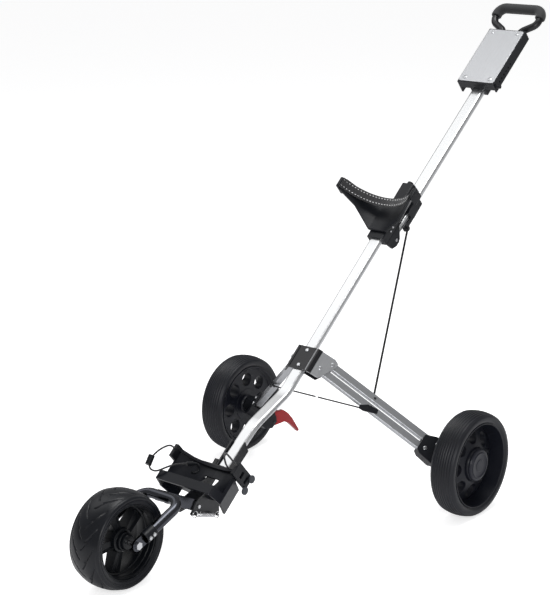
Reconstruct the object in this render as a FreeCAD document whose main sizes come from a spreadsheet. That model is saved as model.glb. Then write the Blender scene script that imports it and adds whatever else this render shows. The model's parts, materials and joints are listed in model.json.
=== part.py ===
import FreeCAD, Part
import math
import os

import Sketcher

from FreeCAD import Placement, Rotation, Vector

# Folding three-wheel golf push cart, opened for use.
# Millimetres, +Z up.  The front wheel points to -Y and the handle to +Y.
# The origin is on the ground, under the middle of the cart's overall box.
# "left" and "right" are those of the person who pushes the cart: left is +X.

SIZES = [
    ("rear_wheel_dia", 240.0, "rear wheel over the tread"),
    ("rear_wheel_width", 61.0, "rear tyre width"),
    ("rear_rim_dia", 192.0, "seat of the rear tyre on its rim"),
    ("wheel_track", 681.0, "between the rear tyres' middle planes"),
    ("front_wheel_dia", 209.0, "front wheel over the tread"),
    ("front_wheel_width", 83.0, "front tyre width"),
    ("front_rim_dia", 160.0, "seat of the front tyre on its rim"),
    ("wheelbase", 776.0, "front axle to rear axle"),
    ("axle_dia", 10.0, "all three axles"),
    ("tube_angle", 40.3, "lower tube above level, degrees"),
    ("tube_offset", 364.6, "lower tube axis to the rear axle's ground point"),
    ("lower_tube_width", 32.0, "lower tube across"),
    ("lower_tube_depth", 14.0, "lower tube front to back"),
    ("upper_tube_width", 34.0, "upper tube across"),
    ("upper_tube_depth", 15.0, "upper tube front to back"),
    ("tube_wall", 1.6, "wall of both frame tubes"),
    ("lower_tube_top", 596.0, "top end of the lower tube, along its axis"),
    ("upper_angle", 39.4, "upper tube above level, degrees"),
    ("upper_tube_length", 560.0, "upper tube beyond the fold pin"),
    ("hinge_along", 475.0, "fold pin along the lower tube"),
    ("hinge_behind", 34.0, "fold pin behind the lower tube's axis"),
    ("hinge_pin_dia", 8.0, "fold pin"),
    ("leg_pin_dia", 6.0, "pins of the leg bars"),
    ("leg_wing_angle", 45.0, "leg plates swept back from the tube's front, degrees"),
    ("leg_length", 295.8, "leg bar, pin to pin"),
    ("leg_lean", 5.1, "open leg bar below square to the tube, degrees"),
    ("leg_bar_width", 18.5, "leg bar, wide face"),
    ("leg_bar_depth", 14.0, "leg bar, along its pins"),
    ("leg_plate", 3.0, "leg plate thickness"),
    ("fold_rod_dia", 5.0, "rod from the upper tube to the leg"),
    ("spreader_dia", 3.5, "spreader cable over its cover"),
    ("fork_tube_dia", 22.0, "front fork tube"),
    ("fork_half", 56.0, "fork arm to the cart's middle plane"),
    ("console_width", 106.0, "scorecard plate across"),
    ("console_length", 178.0, "scorecard plate along"),
    ("handle_reach", 744.0, "fold pin to the handle's crossbar"),
    ("handle_half", 64.0, "handle arm to the middle plane"),
    ("handle_tube_dia", 18.0, "bare handle tube"),
    ("grip_dia", 26.0, "handle over its grip"),
    ("cradle_half", 104.0, "upper bag rest, half across"),
    ("cradle_rise", 92.0, "upper bag rest wings above the tube axis"),
    ("tray_half", 84.0, "lower bag rest, half across"),
    ("tray_depth", 133.0, "lower bag rest's lip above the tube axis"),
    ("bungee_dia", 4.0, "elastic bag cords"),
    ("pin_clearance", 0.05, "running clearance on a radius"),
]

doc = FreeCAD.newDocument("push_cart")
sheet = doc.addObject("Spreadsheet::Sheet", "sizes")
for row, (alias, value, note) in enumerate(SIZES, start=1):
    sheet.set(f"A{row}", note)
    sheet.set(f"B{row}", str(value))
    sheet.setAlias(f"B{row}", alias)
doc.recompute()


def size(alias):
    """Value of one cell of the sheet, in millimetres or degrees."""
    return float(getattr(sheet, alias))


CLEAR = size("pin_clearance")
REAR_R = size("rear_wheel_dia") / 2
FRONT_R = size("front_wheel_dia") / 2
AXLE_R = size("axle_dia") / 2
ANGLE = math.radians(size("tube_angle"))
UPPER_ANGLE = math.radians(size("upper_angle"))
LOW_W, LOW_D = size("lower_tube_width"), size("lower_tube_depth")
UP_W, UP_D = size("upper_tube_width"), size("upper_tube_depth")
WALL = size("tube_wall")
FIT = 0.2                       # between clamped pieces of one body

# Crossbar of the handle above the upper tube's axis, and the cart's rearmost point.
HANDLE_RISE = 25.0
PIN_Y = (size("hinge_along") * math.cos(ANGLE)
         - (size("tube_offset") - size("hinge_behind")) * math.sin(ANGLE))
BACK_Y = (PIN_Y + size("handle_reach") * math.cos(UPPER_ANGLE)
          - HANDLE_RISE * math.sin(UPPER_ANGLE) + size("grip_dia") / 2)
REAR_AXLE_Y = (size("wheelbase") + FRONT_R - BACK_Y) / 2
FRONT_AXLE_Y = REAR_AXLE_Y - size("wheelbase")

# Frames: (x, along, out) of the lower tube, the same of the upper tube from the fold pin,
# and (out along the leg, along the tube, out of the leg plates) of a leg.
TUBE = Placement(
    Vector(0, REAR_AXLE_Y - size("tube_offset") * math.sin(ANGLE),
           size("tube_offset") * math.cos(ANGLE)),
    Rotation(Vector(1, 0, 0), size("tube_angle")))
HINGE_POINT = TUBE.multVec(Vector(0, size("hinge_along"), -size("hinge_behind")))
UPPER = Placement(HINGE_POINT, Rotation(Vector(1, 0, 0), size("upper_angle")))
LEG_ROOT_X = LOW_W / 2 + 4.0
LEG_IN_TUBE = Placement(Vector(LEG_ROOT_X, 0, 0),
                        Rotation(Vector(0, 1, 0), size("leg_wing_angle")))
LEFT, RIGHT = 1, -1
SIDES = ((LEFT, "left"), (RIGHT, "right"))
MIDDLE_PLANE = (Vector(0, 0, 0), Vector(1, 0, 0))


def add(name, shape, placement=Placement()):
    """A sub-part whose shape is built in its own frame and then placed."""
    item = doc.addObject("Part::Feature", name)
    item.Label = name
    item.Shape = shape.removeSplitter() if len(shape.Solids) == 1 else shape
    item.Placement = placement
    return item


def bore(name, tool, placement=Placement()):
    """Cut a tool, given in a placement's frame, out of a finished sub-part."""
    item = doc.getObject(name)
    keep = item.Placement
    shape = item.Shape.copy()
    shape.Placement = Placement()
    local = tool.copy()
    local.Placement = keep.inverse().multiply(placement).multiply(tool.Placement)
    item.Shape = shape.cut(local)
    item.Placement = keep


def cylinder(start, axis, radius, length):
    return Part.makeCylinder(radius, length, Vector(*start), Vector(*axis))


def box(low, high):
    spans = [b - a for a, b in zip(low, high)]
    return Part.makeBox(*spans, Vector(*low))


def plate(points, thickness, corner=0.0):
    """A polygon in the XY plane given thickness along Z, its corners rounded."""
    ring = Part.makePolygon([Vector(x, y, 0) for x, y in points] + [Vector(*points[0], 0)])
    solid = Part.Face(ring).extrude(Vector(0, 0, thickness))
    if corner:
        upright = [edge for edge in solid.Edges
                   if abs(edge.tangentAt(edge.FirstParameter).z) > 0.99]
        solid = solid.makeFillet(corner, upright)
    return solid


def profile(points, start_x, end_x):
    """A polygon in the YZ plane given width along X."""
    ring = Part.makePolygon([Vector(start_x, y, z) for y, z in points]
                            + [Vector(start_x, *points[0])])
    return Part.Face(ring).extrude(Vector(end_x - start_x, 0, 0))


def rounded_ring(width, depth, corner):
    """Wire of a rounded rectangle in the XZ plane, seen along +Y."""
    half_w, half_d = width / 2 - corner, depth / 2 - corner
    edges = []
    for sx, sz, start in ((1, 1, 0), (-1, 1, 90), (-1, -1, 180), (1, -1, 270)):
        middle = Vector(sx * half_w, 0, sz * half_d)
        spots = [middle + Vector(math.cos(a), 0, math.sin(a)) * corner
                 for a in (math.radians(start + turn) for turn in (0, 45, 90))]
        if edges:
            edges.append(Part.makeLine(edges[-1].Vertexes[-1].Point, spots[0]))
        edges.append(Part.Arc(*spots).toShape())
    edges.append(Part.makeLine(edges[-1].Vertexes[-1].Point, edges[0].Vertexes[0].Point))
    return Part.Wire(edges)


def route_wire(points, radii):
    """Straight runs joined by tangent arcs, one radius for each inner point."""
    edges = []
    start = points[0]
    for before, corner, after, radius in zip(points, points[1:], points[2:], radii):
        back = (before - corner).normalize()
        ahead = (after - corner).normalize()
        half_turn = (math.pi - back.getAngle(ahead)) / 2
        trim = radius * math.tan(half_turn)
        first, last = corner + back * trim, corner + ahead * trim
        bisector = (back + ahead).normalize()
        middle = corner + bisector * (radius / math.cos(half_turn) - radius)
        edges.append(Part.makeLine(start, first))
        edges.append(Part.Arc(first, middle, last).toShape())
        start = last
    edges.append(Part.makeLine(start, points[-1]))
    return Part.Wire(edges)


def cord_radii(points):
    """Largest arcs that a cord's runs allow."""
    radii = []
    for before, corner, after in zip(points, points[1:], points[2:]):
        shorter = min((before - corner).Length, (after - corner).Length)
        half_turn = (math.pi - (before - corner).getAngle(after - corner)) / 2
        radii.append(0.45 * shorter / math.tan(half_turn))
    return radii


def round_tube(points, radii, radius, bore=0.0):
    """Round bar or tube along a route of runs and arcs."""
    spine = route_wire(points, radii)

    def swept(section_radius):
        heading = (points[1] - points[0]).normalize()
        ring = Part.Wire(Part.makeCircle(section_radius, points[0], heading))
        return spine.makePipeShell([ring], True, True)

    solid = swept(radius)
    return solid.cut(swept(bore)) if bore else solid


def straight_box_tube(width, depth, corner, wall, length):
    """Hollow rounded-rectangle tube along +Y from the origin."""
    outer = Part.Face(rounded_ring(width, depth, corner)).extrude(Vector(0, length, 0))
    inner_ring = rounded_ring(width - 2 * wall, depth - 2 * wall, corner - wall)
    return outer.cut(Part.Face(inner_ring).extrude(Vector(0, length, 0)))


def turned(points, smooth=()):
    """Solid of revolution about X from (x, radius) points; smooth lists arc middles."""
    edges = []
    loop = list(points) + [points[0]]
    for index, (start, end) in enumerate(zip(loop, loop[1:])):
        a, b = Vector(start[0], start[1], 0), Vector(end[0], end[1], 0)
        middle = dict(smooth).get(index)
        if middle:
            edges.append(Part.Arc(a, Vector(middle[0], middle[1], 0), b).toShape())
        else:
            edges.append(Part.makeLine(a, b))
    return Part.Face(Part.Wire(edges)).revolve(Vector(0, 0, 0), Vector(1, 0, 0), 360)


def hexagon(across, height, base, turn=0):
    """Hexagonal nut or head with its axis along +Z."""
    reach = across / math.sqrt(3)
    points = [(reach * math.cos(math.radians(60 * i + turn)),
               reach * math.sin(math.radians(60 * i + turn))) for i in range(6)]
    solid = plate(points, height)
    solid.translate(Vector(*base))
    return solid


def screw(base, axis, head_r, head, shank_r, shank):
    """Round-head screw: head above base along axis, shank below it."""
    along = Vector(*axis)
    start = Vector(*base)
    top = Part.makeCylinder(head_r, head, start, along)
    top = top.makeChamfer(head * 0.35, [edge for edge in top.Edges
                                        if isinstance(edge.Curve, Part.Circle)
                                        and (edge.Curve.Center - start).Length > head / 2])
    return top.fuse(Part.makeCylinder(shank_r, shank, start, along * -1))


def mirrored(shape):
    return shape.mirror(*MIDDLE_PLANE)


def both_sides(shape):
    return Part.makeCompound([shape, mirrored(shape)])


def leg_shape(shape, side):
    """From the leg's frame to the lower tube's frame, mirrored for the right leg."""
    placed = shape.copy()
    placed.Placement = LEG_IN_TUBE.multiply(placed.Placement)
    return placed if side == LEFT else mirrored(placed)


def turned_body(name, placement, inner, outer, width, corner):
    """A ring about X as a PartDesign body; the arguments are expressions of the sheet."""
    body = doc.addObject("PartDesign::Body", name)
    body.Label = name
    plane = [item for item in body.Origin.OriginFeatures if item.Role == "XY_Plane"][0]
    sketch = body.newObject("Sketcher::SketchObject", name + "_section")
    sketch.AttachmentSupport = [(plane, "")]
    sketch.MapMode = "FlatFace"
    spots = [Vector(-10, 20, 0), Vector(10, 20, 0), Vector(10, 30, 0), Vector(-10, 30, 0)]
    for start, end in zip(spots, spots[1:] + spots[:1]):
        sketch.addGeometry(Part.LineSegment(start, end))
    for line in range(4):
        sketch.addConstraint(Sketcher.Constraint("Coincident", line, 2, (line + 1) % 4, 1))
    for line, lie in ((1, "Vertical"), (2, "Horizontal"), (3, "Vertical")):
        sketch.addConstraint(Sketcher.Constraint(lie, line))
    sketch.addConstraint(Sketcher.Constraint("Symmetric", 0, 1, 0, 2, -2))
    values = (("inner", "DistanceY", (-1, 1, 0, 1), inner),
              ("outer", "DistanceY", (-1, 1, 2, 1), outer),
              ("width", "DistanceX", (0, 1, 0, 2), width))
    for title, kind, where, expression in values:
        index = sketch.addConstraint(Sketcher.Constraint(kind, *where, 20.0))
        sketch.renameConstraint(index, title)
        sketch.setExpression("Constraints." + title, expression)
    ring = body.newObject("PartDesign::Revolution", name + "_ring")
    ring.Profile = sketch
    ring.ReferenceAxis = (sketch, ["H_Axis"])
    ring.Angle = 360
    doc.recompute()
    if corner:
        outer_edges = [f"Edge{i + 1}" for i, edge in enumerate(ring.Shape.Edges)
                       if isinstance(edge.Curve, Part.Circle)
                       and abs(edge.Curve.Radius - max(e.Curve.Radius for e in ring.Shape.Edges
                                                       if isinstance(e.Curve, Part.Circle))) < 1e-6]
        rounding = body.newObject("PartDesign::Fillet", name + "_edge")
        rounding.Base = (ring, outer_edges)
        rounding.setExpression("Radius", corner)
        body.Tip = rounding
    body.Placement = placement
    return body


def pin_body(name, radius, length, placement):
    """A plain pin as a Part cylinder bound to the sheet, centred on its placement."""
    pin = doc.addObject("Part::Cylinder", name)
    pin.Label = name
    pin.setExpression("Radius", radius)
    pin.setExpression("Height", length)
    doc.recompute()
    pin.Placement = placement.multiply(Placement(Vector(0, 0, -float(pin.Height) / 2), Rotation()))
    return pin


ACROSS = Rotation(Vector(0, 1, 0), 90)          # turns +Z to +X

# ------------------------------------------------------------------ lower frame tube
LOWER_TOP = size("lower_tube_top")
TUBE_CORNER = 6.0
BEND = [Vector(0, LOWER_TOP, 0), Vector(0, 0, 0), Vector(0, -118, 38), Vector(0, -236, 44)]
BEND_RADIUS = 130.0


def make_lower_tube():
    spine = route_wire(BEND, [BEND_RADIUS, BEND_RADIUS])

    def swept(width, depth, corner):
        ring = rounded_ring(width, depth, corner)
        ring.translate(BEND[0])
        return spine.makePipeShell([ring], True, True)

    outer = swept(LOW_W, LOW_D, TUBE_CORNER)
    inner = swept(LOW_W - 2 * WALL, LOW_D - 2 * WALL, TUBE_CORNER - WALL)
    return outer.cut(inner)


add("lower_tube", make_lower_tube(), TUBE)


def sleeve(low, high, gap, wall, width, depth, corner):
    """Closed collar about a frame tube between two places along it."""
    outer = Part.Face(rounded_ring(width + 2 * (gap + wall), depth + 2 * (gap + wall),
                                   corner + gap + wall))
    inner = Part.Face(rounded_ring(width + 2 * gap, depth + 2 * gap, corner + gap))
    solid = outer.cut(inner).extrude(Vector(0, high - low, 0))
    solid.translate(Vector(0, low, 0))
    return solid


# Plastic end piece that closes the lower tube above the bag rest.
CLAMP_TOP = 536.0
END_TOP = LOWER_TOP + 16.0


def make_tube_end():
    cover = sleeve(CLAMP_TOP + 0.5, LOWER_TOP, 0.0, 3.0, LOW_W, LOW_D, TUBE_CORNER)
    nose = Part.Face(rounded_ring(LOW_W + 6, LOW_D + 6, TUBE_CORNER + 3)).extrude(
        Vector(0, END_TOP - LOWER_TOP, 0))
    nose.translate(Vector(0, LOWER_TOP, 0))
    knob = cylinder((0, END_TOP - 6, 0), (0, 1, 0), 8.0, 14.0)
    return cover.fuse(nose.fuse(knob))


add("tube_end", make_tube_end(), TUBE)

# ------------------------------------------------------------------ fold hinge, lower half
CLAMP_LOW = 442.0
EAR_IN, EAR_OUT = UP_W / 2 + 0.6, UP_W / 2 + 6.0
HINGE_R = size("hinge_pin_dia") / 2
HINGE_BACK = size("hinge_behind")


def make_hinge_clamp():
    block = box((-EAR_OUT, CLAMP_LOW, -12.0), (EAR_OUT, CLAMP_TOP, 13.0))
    block = block.makeFillet(3.0, [edge for edge in block.Edges
                                   if abs(edge.tangentAt(edge.FirstParameter).y) > 0.99])
    bore = Part.Face(rounded_ring(LOW_W, LOW_D, TUBE_CORNER)).extrude(
        Vector(0, CLAMP_TOP - CLAMP_LOW, 0))
    bore.translate(Vector(0, CLAMP_LOW, 0))
    ear = profile([(CLAMP_LOW + 2, -11), (CLAMP_TOP - 26, -11),
                   (size("hinge_along") + 12, -HINGE_BACK - 8),
                   (size("hinge_along") + 4, -HINGE_BACK - 12),
                   (size("hinge_along") - 8, -HINGE_BACK - 12),
                   (CLAMP_LOW + 10, -HINGE_BACK - 4)], EAR_IN, EAR_OUT)
    hole = cylinder((0, size("hinge_along"), -HINGE_BACK), (1, 0, 0), HINGE_R, EAR_OUT + 1)
    ear = ear.cut(hole)
    return block.cut(bore).fuse([ear, mirrored(ear)])


add("hinge_clamp", make_hinge_clamp(), TUBE)
pin_body("fold_pin", "sizes.hinge_pin_dia / 2", "sizes.upper_tube_width + 15",
         Placement(HINGE_POINT, ACROSS))


def clamp_screws():
    spots = ((526, 0, 3.8), (506, 0, 3.8), (486, 2, 2.8), (474, 1, 2.6))
    screws = [screw((EAR_OUT, along, out), (1, 0, 0), head_r, 2.6, 2.0, 5.0)
              for along, out, head_r in spots]
    return screws + [mirrored(item) for item in screws]


# ------------------------------------------------------------------ upper bag rest
CRADLE_LOW, CRADLE_TOP = 458.0, 540.0
CRADLE_HALF, CRADLE_RISE = size("cradle_half"), size("cradle_rise")
CRADLE_WALL = 5.0


def make_cradle():
    half = [(0, 13.3), (24, 13.3), (60, 34), (CRADLE_HALF, CRADLE_RISE),
            (CRADLE_HALF - 7, CRADLE_RISE + 3), (54, 34 + CRADLE_WALL), (22, 21), (0, 20)]
    ring = [Vector(x, 0, z) for x, z in half] + [Vector(-x, 0, z) for x, z in reversed(half)]
    unique = [ring[0]]
    for spot in ring[1:]:
        if (spot - unique[-1]).Length > 1e-6:
            unique.append(spot)
    if (unique[0] - unique[-1]).Length > 1e-6:
        unique.append(unique[0])
    saddle = Part.Face(Part.Wire(Part.makePolygon(unique))).extrude(
        Vector(0, CRADLE_TOP - CRADLE_LOW, 0))
    saddle.translate(Vector(0, CRADLE_LOW, 0))
    reach = CRADLE_HALF + 4
    outline = [(-26, CRADLE_LOW), (26, CRADLE_LOW), (70, 494), (reach, 506), (reach, CRADLE_TOP - 2),
               (-reach, CRADLE_TOP - 2), (-reach, 506), (-70, 494)]
    keep = plate(outline, 130)
    return saddle.common(keep)


add("cradle", make_cradle(), TUBE)


def make_strap_anchors():
    block = box((CRADLE_HALF - 2, 508, CRADLE_RISE - 20), (CRADLE_HALF + 6, 536, CRADLE_RISE + 10))
    block = block.makeFillet(2.0, block.Edges)
    wing = box((CRADLE_HALF - 30, 500, CRADLE_RISE - 40), (CRADLE_HALF + 10, 545, CRADLE_RISE + 20))
    return both_sides(block.cut(make_cradle().common(wing)))


add("strap_anchors", make_strap_anchors(), TUBE)


def make_cradle_strap():
    """Webbing that hangs slack from wing to wing."""
    left = Vector(CRADLE_HALF - 4, 0, CRADLE_RISE + 8)
    low = Vector(0, 0, 44)
    inner = Part.Arc(left, low, Vector(-left.x, 0, left.z)).toShape()
    lift = 2.0
    outer = Part.Arc(Vector(-left.x, 0, left.z + lift), Vector(0, 0, low.z + lift),
                     Vector(left.x, 0, left.z + lift)).toShape()
    ends = [Part.makeLine(Vector(-left.x, 0, left.z), Vector(-left.x, 0, left.z + lift)),
            Part.makeLine(Vector(left.x, 0, left.z + lift), left)]
    ring = Part.Wire([inner, ends[0], outer, ends[1]])
    strap = Part.Face(ring).extrude(Vector(0, 26, 0))
    strap.translate(Vector(0, 509, 0))
    anchors = make_strap_anchors()
    return strap.cut(anchors)


add("cradle_strap", make_cradle_strap(), TUBE)

# ------------------------------------------------------------------ leg bracket and plates
BRACKET_LOW, BRACKET_TOP = 60.0, 121.0
PLATE_T = size("leg_plate")
BAR_W, BAR_D = size("leg_bar_width"), size("leg_bar_depth")
PLATE_V = BAR_D / 2 + 1.0
LEG_PIN_R = size("leg_pin_dia") / 2
UPPER_ROOT = Vector(43.9, 106.4, 0)
LOWER_ROOT = Vector(23.1, 83.9, 0)
LEG_LENGTH = size("leg_length")
LEAN = math.radians(size("leg_lean"))
LEG_STEP = Vector(math.cos(LEAN), -math.sin(LEAN), 0) * LEG_LENGTH
UPPER_TIP, LOWER_TIP = UPPER_ROOT + LEG_STEP, LOWER_ROOT + LEG_STEP


def section_prism(points, low, high):
    """A polygon in the XZ plane of the tube's frame, given length along the tube."""
    ring = Part.makePolygon([Vector(x, low, z) for x, z in points]
                            + [Vector(points[0][0], low, points[0][1])])
    return Part.Face(ring).extrude(Vector(0, high - low, 0))


def leg_spot(out, lift):
    """(x, out) of the lower tube's frame for a place in the left leg's section."""
    spot = LEG_IN_TUBE.multVec(Vector(out, 0, lift))
    return spot.x, spot.z


def make_leg_bracket():
    """Folded steel strap over the tube's front, its wings swept back over the leg plates."""
    inner_v, outer_v = PLATE_V + PLATE_T, PLATE_V + 2 * PLATE_T
    inner_n = LOW_D / 2 + FIT
    outer_n = inner_n + PLATE_T
    diagonal = math.sqrt(2)
    half = [(LEG_ROOT_X + diagonal * outer_v - outer_n, outer_n), leg_spot(9, outer_v),
            leg_spot(9, inner_v), (LEG_ROOT_X + diagonal * inner_v - inner_n, inner_n)]
    outline = half[:2] + half[2:] + [(-x, z) for x, z in reversed(half)]
    return section_prism(outline, BRACKET_LOW, BRACKET_TOP)


add("leg_bracket", make_leg_bracket(), TUBE)

PLATE_OUTLINE = [(-6, 121), (43, 121), (54, 115.5), (53, 104), (38, 76), (29, 61), (-6, 60)]


def make_leg_plate(front):
    """One of the two cheeks that hold the inner ends of a leg's bars."""
    solid = plate(PLATE_OUTLINE, PLATE_T, 3.0)
    low = PLATE_V if front else -PLATE_V - PLATE_T
    solid.translate(Vector(0, 0, low))
    for root in (UPPER_ROOT, LOWER_ROOT):
        solid = solid.cut(cylinder((root.x, root.y, low - 1), (0, 0, 1), LEG_PIN_R, PLATE_T + 2))
    return solid


def clear_of_tube(shape):
    tube = box((-LOW_W / 2 - FIT, 40, -LOW_D / 2 - FIT), (LOW_W / 2 + FIT, 140, LOW_D / 2 + FIT))
    return shape.cut(tube)


for side, name in SIDES:
    front_plate = clear_of_tube(leg_shape(make_leg_plate(True), side)).cut(make_leg_bracket())
    add("leg_plate_front_" + name, front_plate, TUBE)


def make_rear_plates():
    """Rear cheeks of both legs, joined by the strap behind the tube."""
    left = clear_of_tube(leg_shape(make_leg_plate(False), LEFT))
    right = mirrored(left)
    reach = left.BoundBox.XMin + 5
    strap = box((-reach, 64, -LOW_D / 2 - FIT - PLATE_T), (reach, 117, -LOW_D / 2 - FIT))
    return left.fuse([right, strap])


add("leg_plates_rear", make_rear_plates(), TUBE)


def make_leg_pins():
    pins = []
    for root in (UPPER_ROOT, LOWER_ROOT):
        reach = PLATE_V + PLATE_T
        pin = cylinder((root.x, root.y, -reach - 2), (0, 0, 1), LEG_PIN_R, 2 * reach + 2)
        head = screw((root.x, root.y, reach), (0, 0, 1), 4.6, 2.4, LEG_PIN_R, 1.0)
        pins.append(pin.fuse([head, cylinder((root.x, root.y, -reach - 4), (0, 0, 1), 4.4, 4.0)]))
    group = [leg_shape(pin, side) for side, _ in SIDES for pin in pins]
    return Part.makeCompound(group)


add("leg_pins", make_leg_pins(), TUBE)


def bracket_screws():
    base = LOW_D / 2 + FIT + PLATE_T
    return [screw((0, along, base), (0, 0, 1), 4.4, 2.6, 2.2, 3.0) for along in (70.0, 111.0)]


# ------------------------------------------------------------------ leg bars
def bar_between(start, step, half_width, half_depth):
    """Flat bar with round ends from pin to pin, its running holes bored."""
    length = step.Length
    turn = Placement(start, Rotation(Vector(1, 0, 0), step))
    body = box((0, -half_width, -half_depth), (length, half_width, half_depth))
    solid = body.fuse([cylinder((x, 0, -half_depth), (0, 0, 1), half_width, 2 * half_depth)
                       for x in (0, length)]).removeSplitter()
    rims = [edge for edge in solid.Edges if abs(abs(edge.CenterOfMass.z) - half_depth) < 0.01]
    solid = solid.makeFillet(2.5, rims)
    for x in (0, length):
        solid = solid.cut(cylinder((x, 0, -half_depth - 1), (0, 0, 1),
                                   LEG_PIN_R + CLEAR, 2 * half_depth + 2))
    solid.Placement = turn
    return solid


HOOK_OUT = Vector(148.0, 59.0, 3.0)        # where the spreader cable hooks on
ROD_FOOT = Vector(165.6, 95.5, 0)          # fold rod's pin on the left upper bar
for side, name in SIDES:
    upper = bar_between(UPPER_ROOT, LEG_STEP, BAR_W / 2, BAR_D / 2)
    lower = bar_between(LOWER_ROOT, LEG_STEP, BAR_W / 2, BAR_D / 2)
    add("leg_bar_upper_" + name, leg_shape(upper, side), TUBE)
    add("leg_bar_lower_" + name, leg_shape(lower, side), TUBE)


def make_spreader_lug():
    """Black clip screwed to the lower bar's front, reaching down to the cable's hook."""
    foot = LOWER_ROOT + LEG_STEP * (155.5 / LEG_LENGTH)
    face = BAR_D / 2
    outline = [(foot.x + 8, foot.y - 4), (foot.x + 6, foot.y + 6), (foot.x - 20, foot.y + 3),
               (HOOK_OUT.x - 6, HOOK_OUT.y + 3), (HOOK_OUT.x - 5, HOOK_OUT.y - 5),
               (HOOK_OUT.x + 8, HOOK_OUT.y - 5)]
    clip = plate(outline, 3.0, 1.0)
    clip.translate(Vector(0, 0, face))
    heads = [screw((foot.x + x, foot.y + y, face + 3), (0, 0, 1), 3.2, 2.0, 1.5, 2.0)
             for x, y in ((0, 0), (-12, 1))]
    return clip.fuse(heads)


for side, name in SIDES:
    add("spreader_clip_" + name, leg_shape(make_spreader_lug(), side), TUBE)


SPREADER_GAP = 4.0                         # half cable's end to the middle plane


def make_spreader(side):
    """Half of the steel cable that keeps the open legs from spreading."""
    radius = size("spreader_dia") / 2
    hook = LEG_IN_TUBE.multVec(HOOK_OUT)
    half = Part.makeCylinder(radius, hook.x - SPREADER_GAP, Vector(SPREADER_GAP, hook.y, hook.z),
                             Vector(1, 0, 0))
    end = Part.makeSphere(radius + 1.4, hook)
    half = half.fuse(end)
    return half if side == LEFT else mirrored(half)


for side, name in SIDES:
    add("spreader_" + name, make_spreader(side), TUBE)

# ------------------------------------------------------------------ wheel carriers and axles
CARRIER_LOW = 40.0
AXLE_POINT = Vector(size("wheel_track") / 2, REAR_AXLE_Y, REAR_R)
TYRE_INNER_X = size("wheel_track") / 2 - size("rear_wheel_width") / 2
TUBE_INVERSE = TUBE.inverse()


def make_carrier():
    """Moulded end block: a slot for both bars, and a boss for the wheel's axle."""
    outline = [(303, 47), (312, CARRIER_LOW), (345, 34), (384, 48), (384, 90), (362, 100),
               (330, 96), (304, 86)]
    block = plate(outline, 2 * PLATE_V + 10, 4.0)
    block.translate(Vector(0, 0, -PLATE_V - 5))
    slot_end = UPPER_TIP.x + BAR_W / 2 + 1.5
    slot = box((290, LOWER_TIP.y - BAR_W / 2 - 1.2, -PLATE_V), (slot_end, 120, PLATE_V))
    block = block.cut(slot)
    for tip in (UPPER_TIP, LOWER_TIP):
        block = block.cut(cylinder((tip.x, tip.y, -20), (0, 0, 1), LEG_PIN_R, 40))
    block = leg_shape(block, LEFT)
    axle = TUBE_INVERSE.multVec(AXLE_POINT)
    boss_out = TYRE_INNER_X + 1.0
    boss = cylinder((axle.x - (AXLE_POINT.x - boss_out) - 42, axle.y, axle.z), (1, 0, 0), 23.0, 42.0)
    keep = box((0, -400, -400), (boss_out, 400, 400))
    block = block.common(keep).fuse(boss)
    block = block.cut(leg_shape(slot, LEFT))
    bore = cylinder((boss_out - 36, axle.y, axle.z), (1, 0, 0), AXLE_R, 60.0)
    return block.cut(bore)


def make_carrier_pins():
    pins = []
    reach = PLATE_V + 5
    for tip in (UPPER_TIP, LOWER_TIP):
        pin = cylinder((tip.x, tip.y, -reach), (0, 0, 1), LEG_PIN_R, 2 * reach)
        head = screw((tip.x, tip.y, reach), (0, 0, 1), 4.6, 2.2, LEG_PIN_R, 1.0)
        pins.append(leg_shape(pin.fuse(head), LEFT))
    return Part.makeCompound(pins)


carrier_shape = make_carrier()
carrier_pins = make_carrier_pins()
HUB_R = 24.0
REAR_HALF = size("rear_wheel_width") / 2


def make_rear_axle():
    """Stub axle with its end nut, along +X through the left wheel's hub."""
    start = TYRE_INNER_X + 1.0 - 36
    end = AXLE_POINT.x + REAR_HALF - 9
    stub = cylinder((start, REAR_AXLE_Y, REAR_R), (1, 0, 0), AXLE_R, end - start)
    nut = hexagon(17.0, 5.0, (0, 0, 0))
    nut.Placement = Placement(Vector(end - 5, REAR_AXLE_Y, REAR_R), ACROSS)
    return stub.fuse(nut)


for side, name in SIDES:
    as_left = side == LEFT
    add("wheel_carrier_" + name, carrier_shape if as_left else mirrored(carrier_shape), TUBE)
    add("carrier_pins_" + name, carrier_pins if as_left else mirrored(carrier_pins), TUBE)
    axle = make_rear_axle()
    add("rear_axle_" + name, axle if as_left else mirrored(axle))

# ------------------------------------------------------------------ wheels
def make_tyre(radius, half_width, seat, shoulder):
    flat = half_width - 7
    points = [(-half_width, seat), (-half_width, radius - 3.2 * shoulder),
              (-flat, radius - shoulder), (flat, radius - shoulder),
              (half_width, radius - 3.2 * shoulder), (half_width, seat)]
    crown = ((2, (0, radius)),)
    return turned(points, crown)


def make_spoked_wheel(seat, half_width, web_half, hub_r, bore, openings):
    """Rim, web and hub; openings are solids cut from the web."""
    rim = 5.0
    points = [(-half_width + 3, seat - rim), (-half_width + 3, seat), (half_width - 3, seat),
              (half_width - 3, seat - rim), (web_half + 8, seat - rim - 3), (web_half, seat - rim - 10),
              (web_half, hub_r + 4), (half_width - 8, hub_r), (half_width - 8, bore),
              (-half_width + 8, bore), (-half_width + 8, hub_r), (-web_half, hub_r + 4),
              (-web_half, seat - rim - 10), (-web_half - 8, seat - rim - 3)]
    wheel = turned(points)
    return wheel.cut(openings)


def round_openings(count, ring_radius, radius):
    holes = []
    for index in range(count):
        turn = 2 * math.pi * (index + 0.5) / count
        holes.append(cylinder((-60, ring_radius * math.cos(turn), ring_radius * math.sin(turn)),
                              (1, 0, 0), radius, 120))
    return holes


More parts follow.
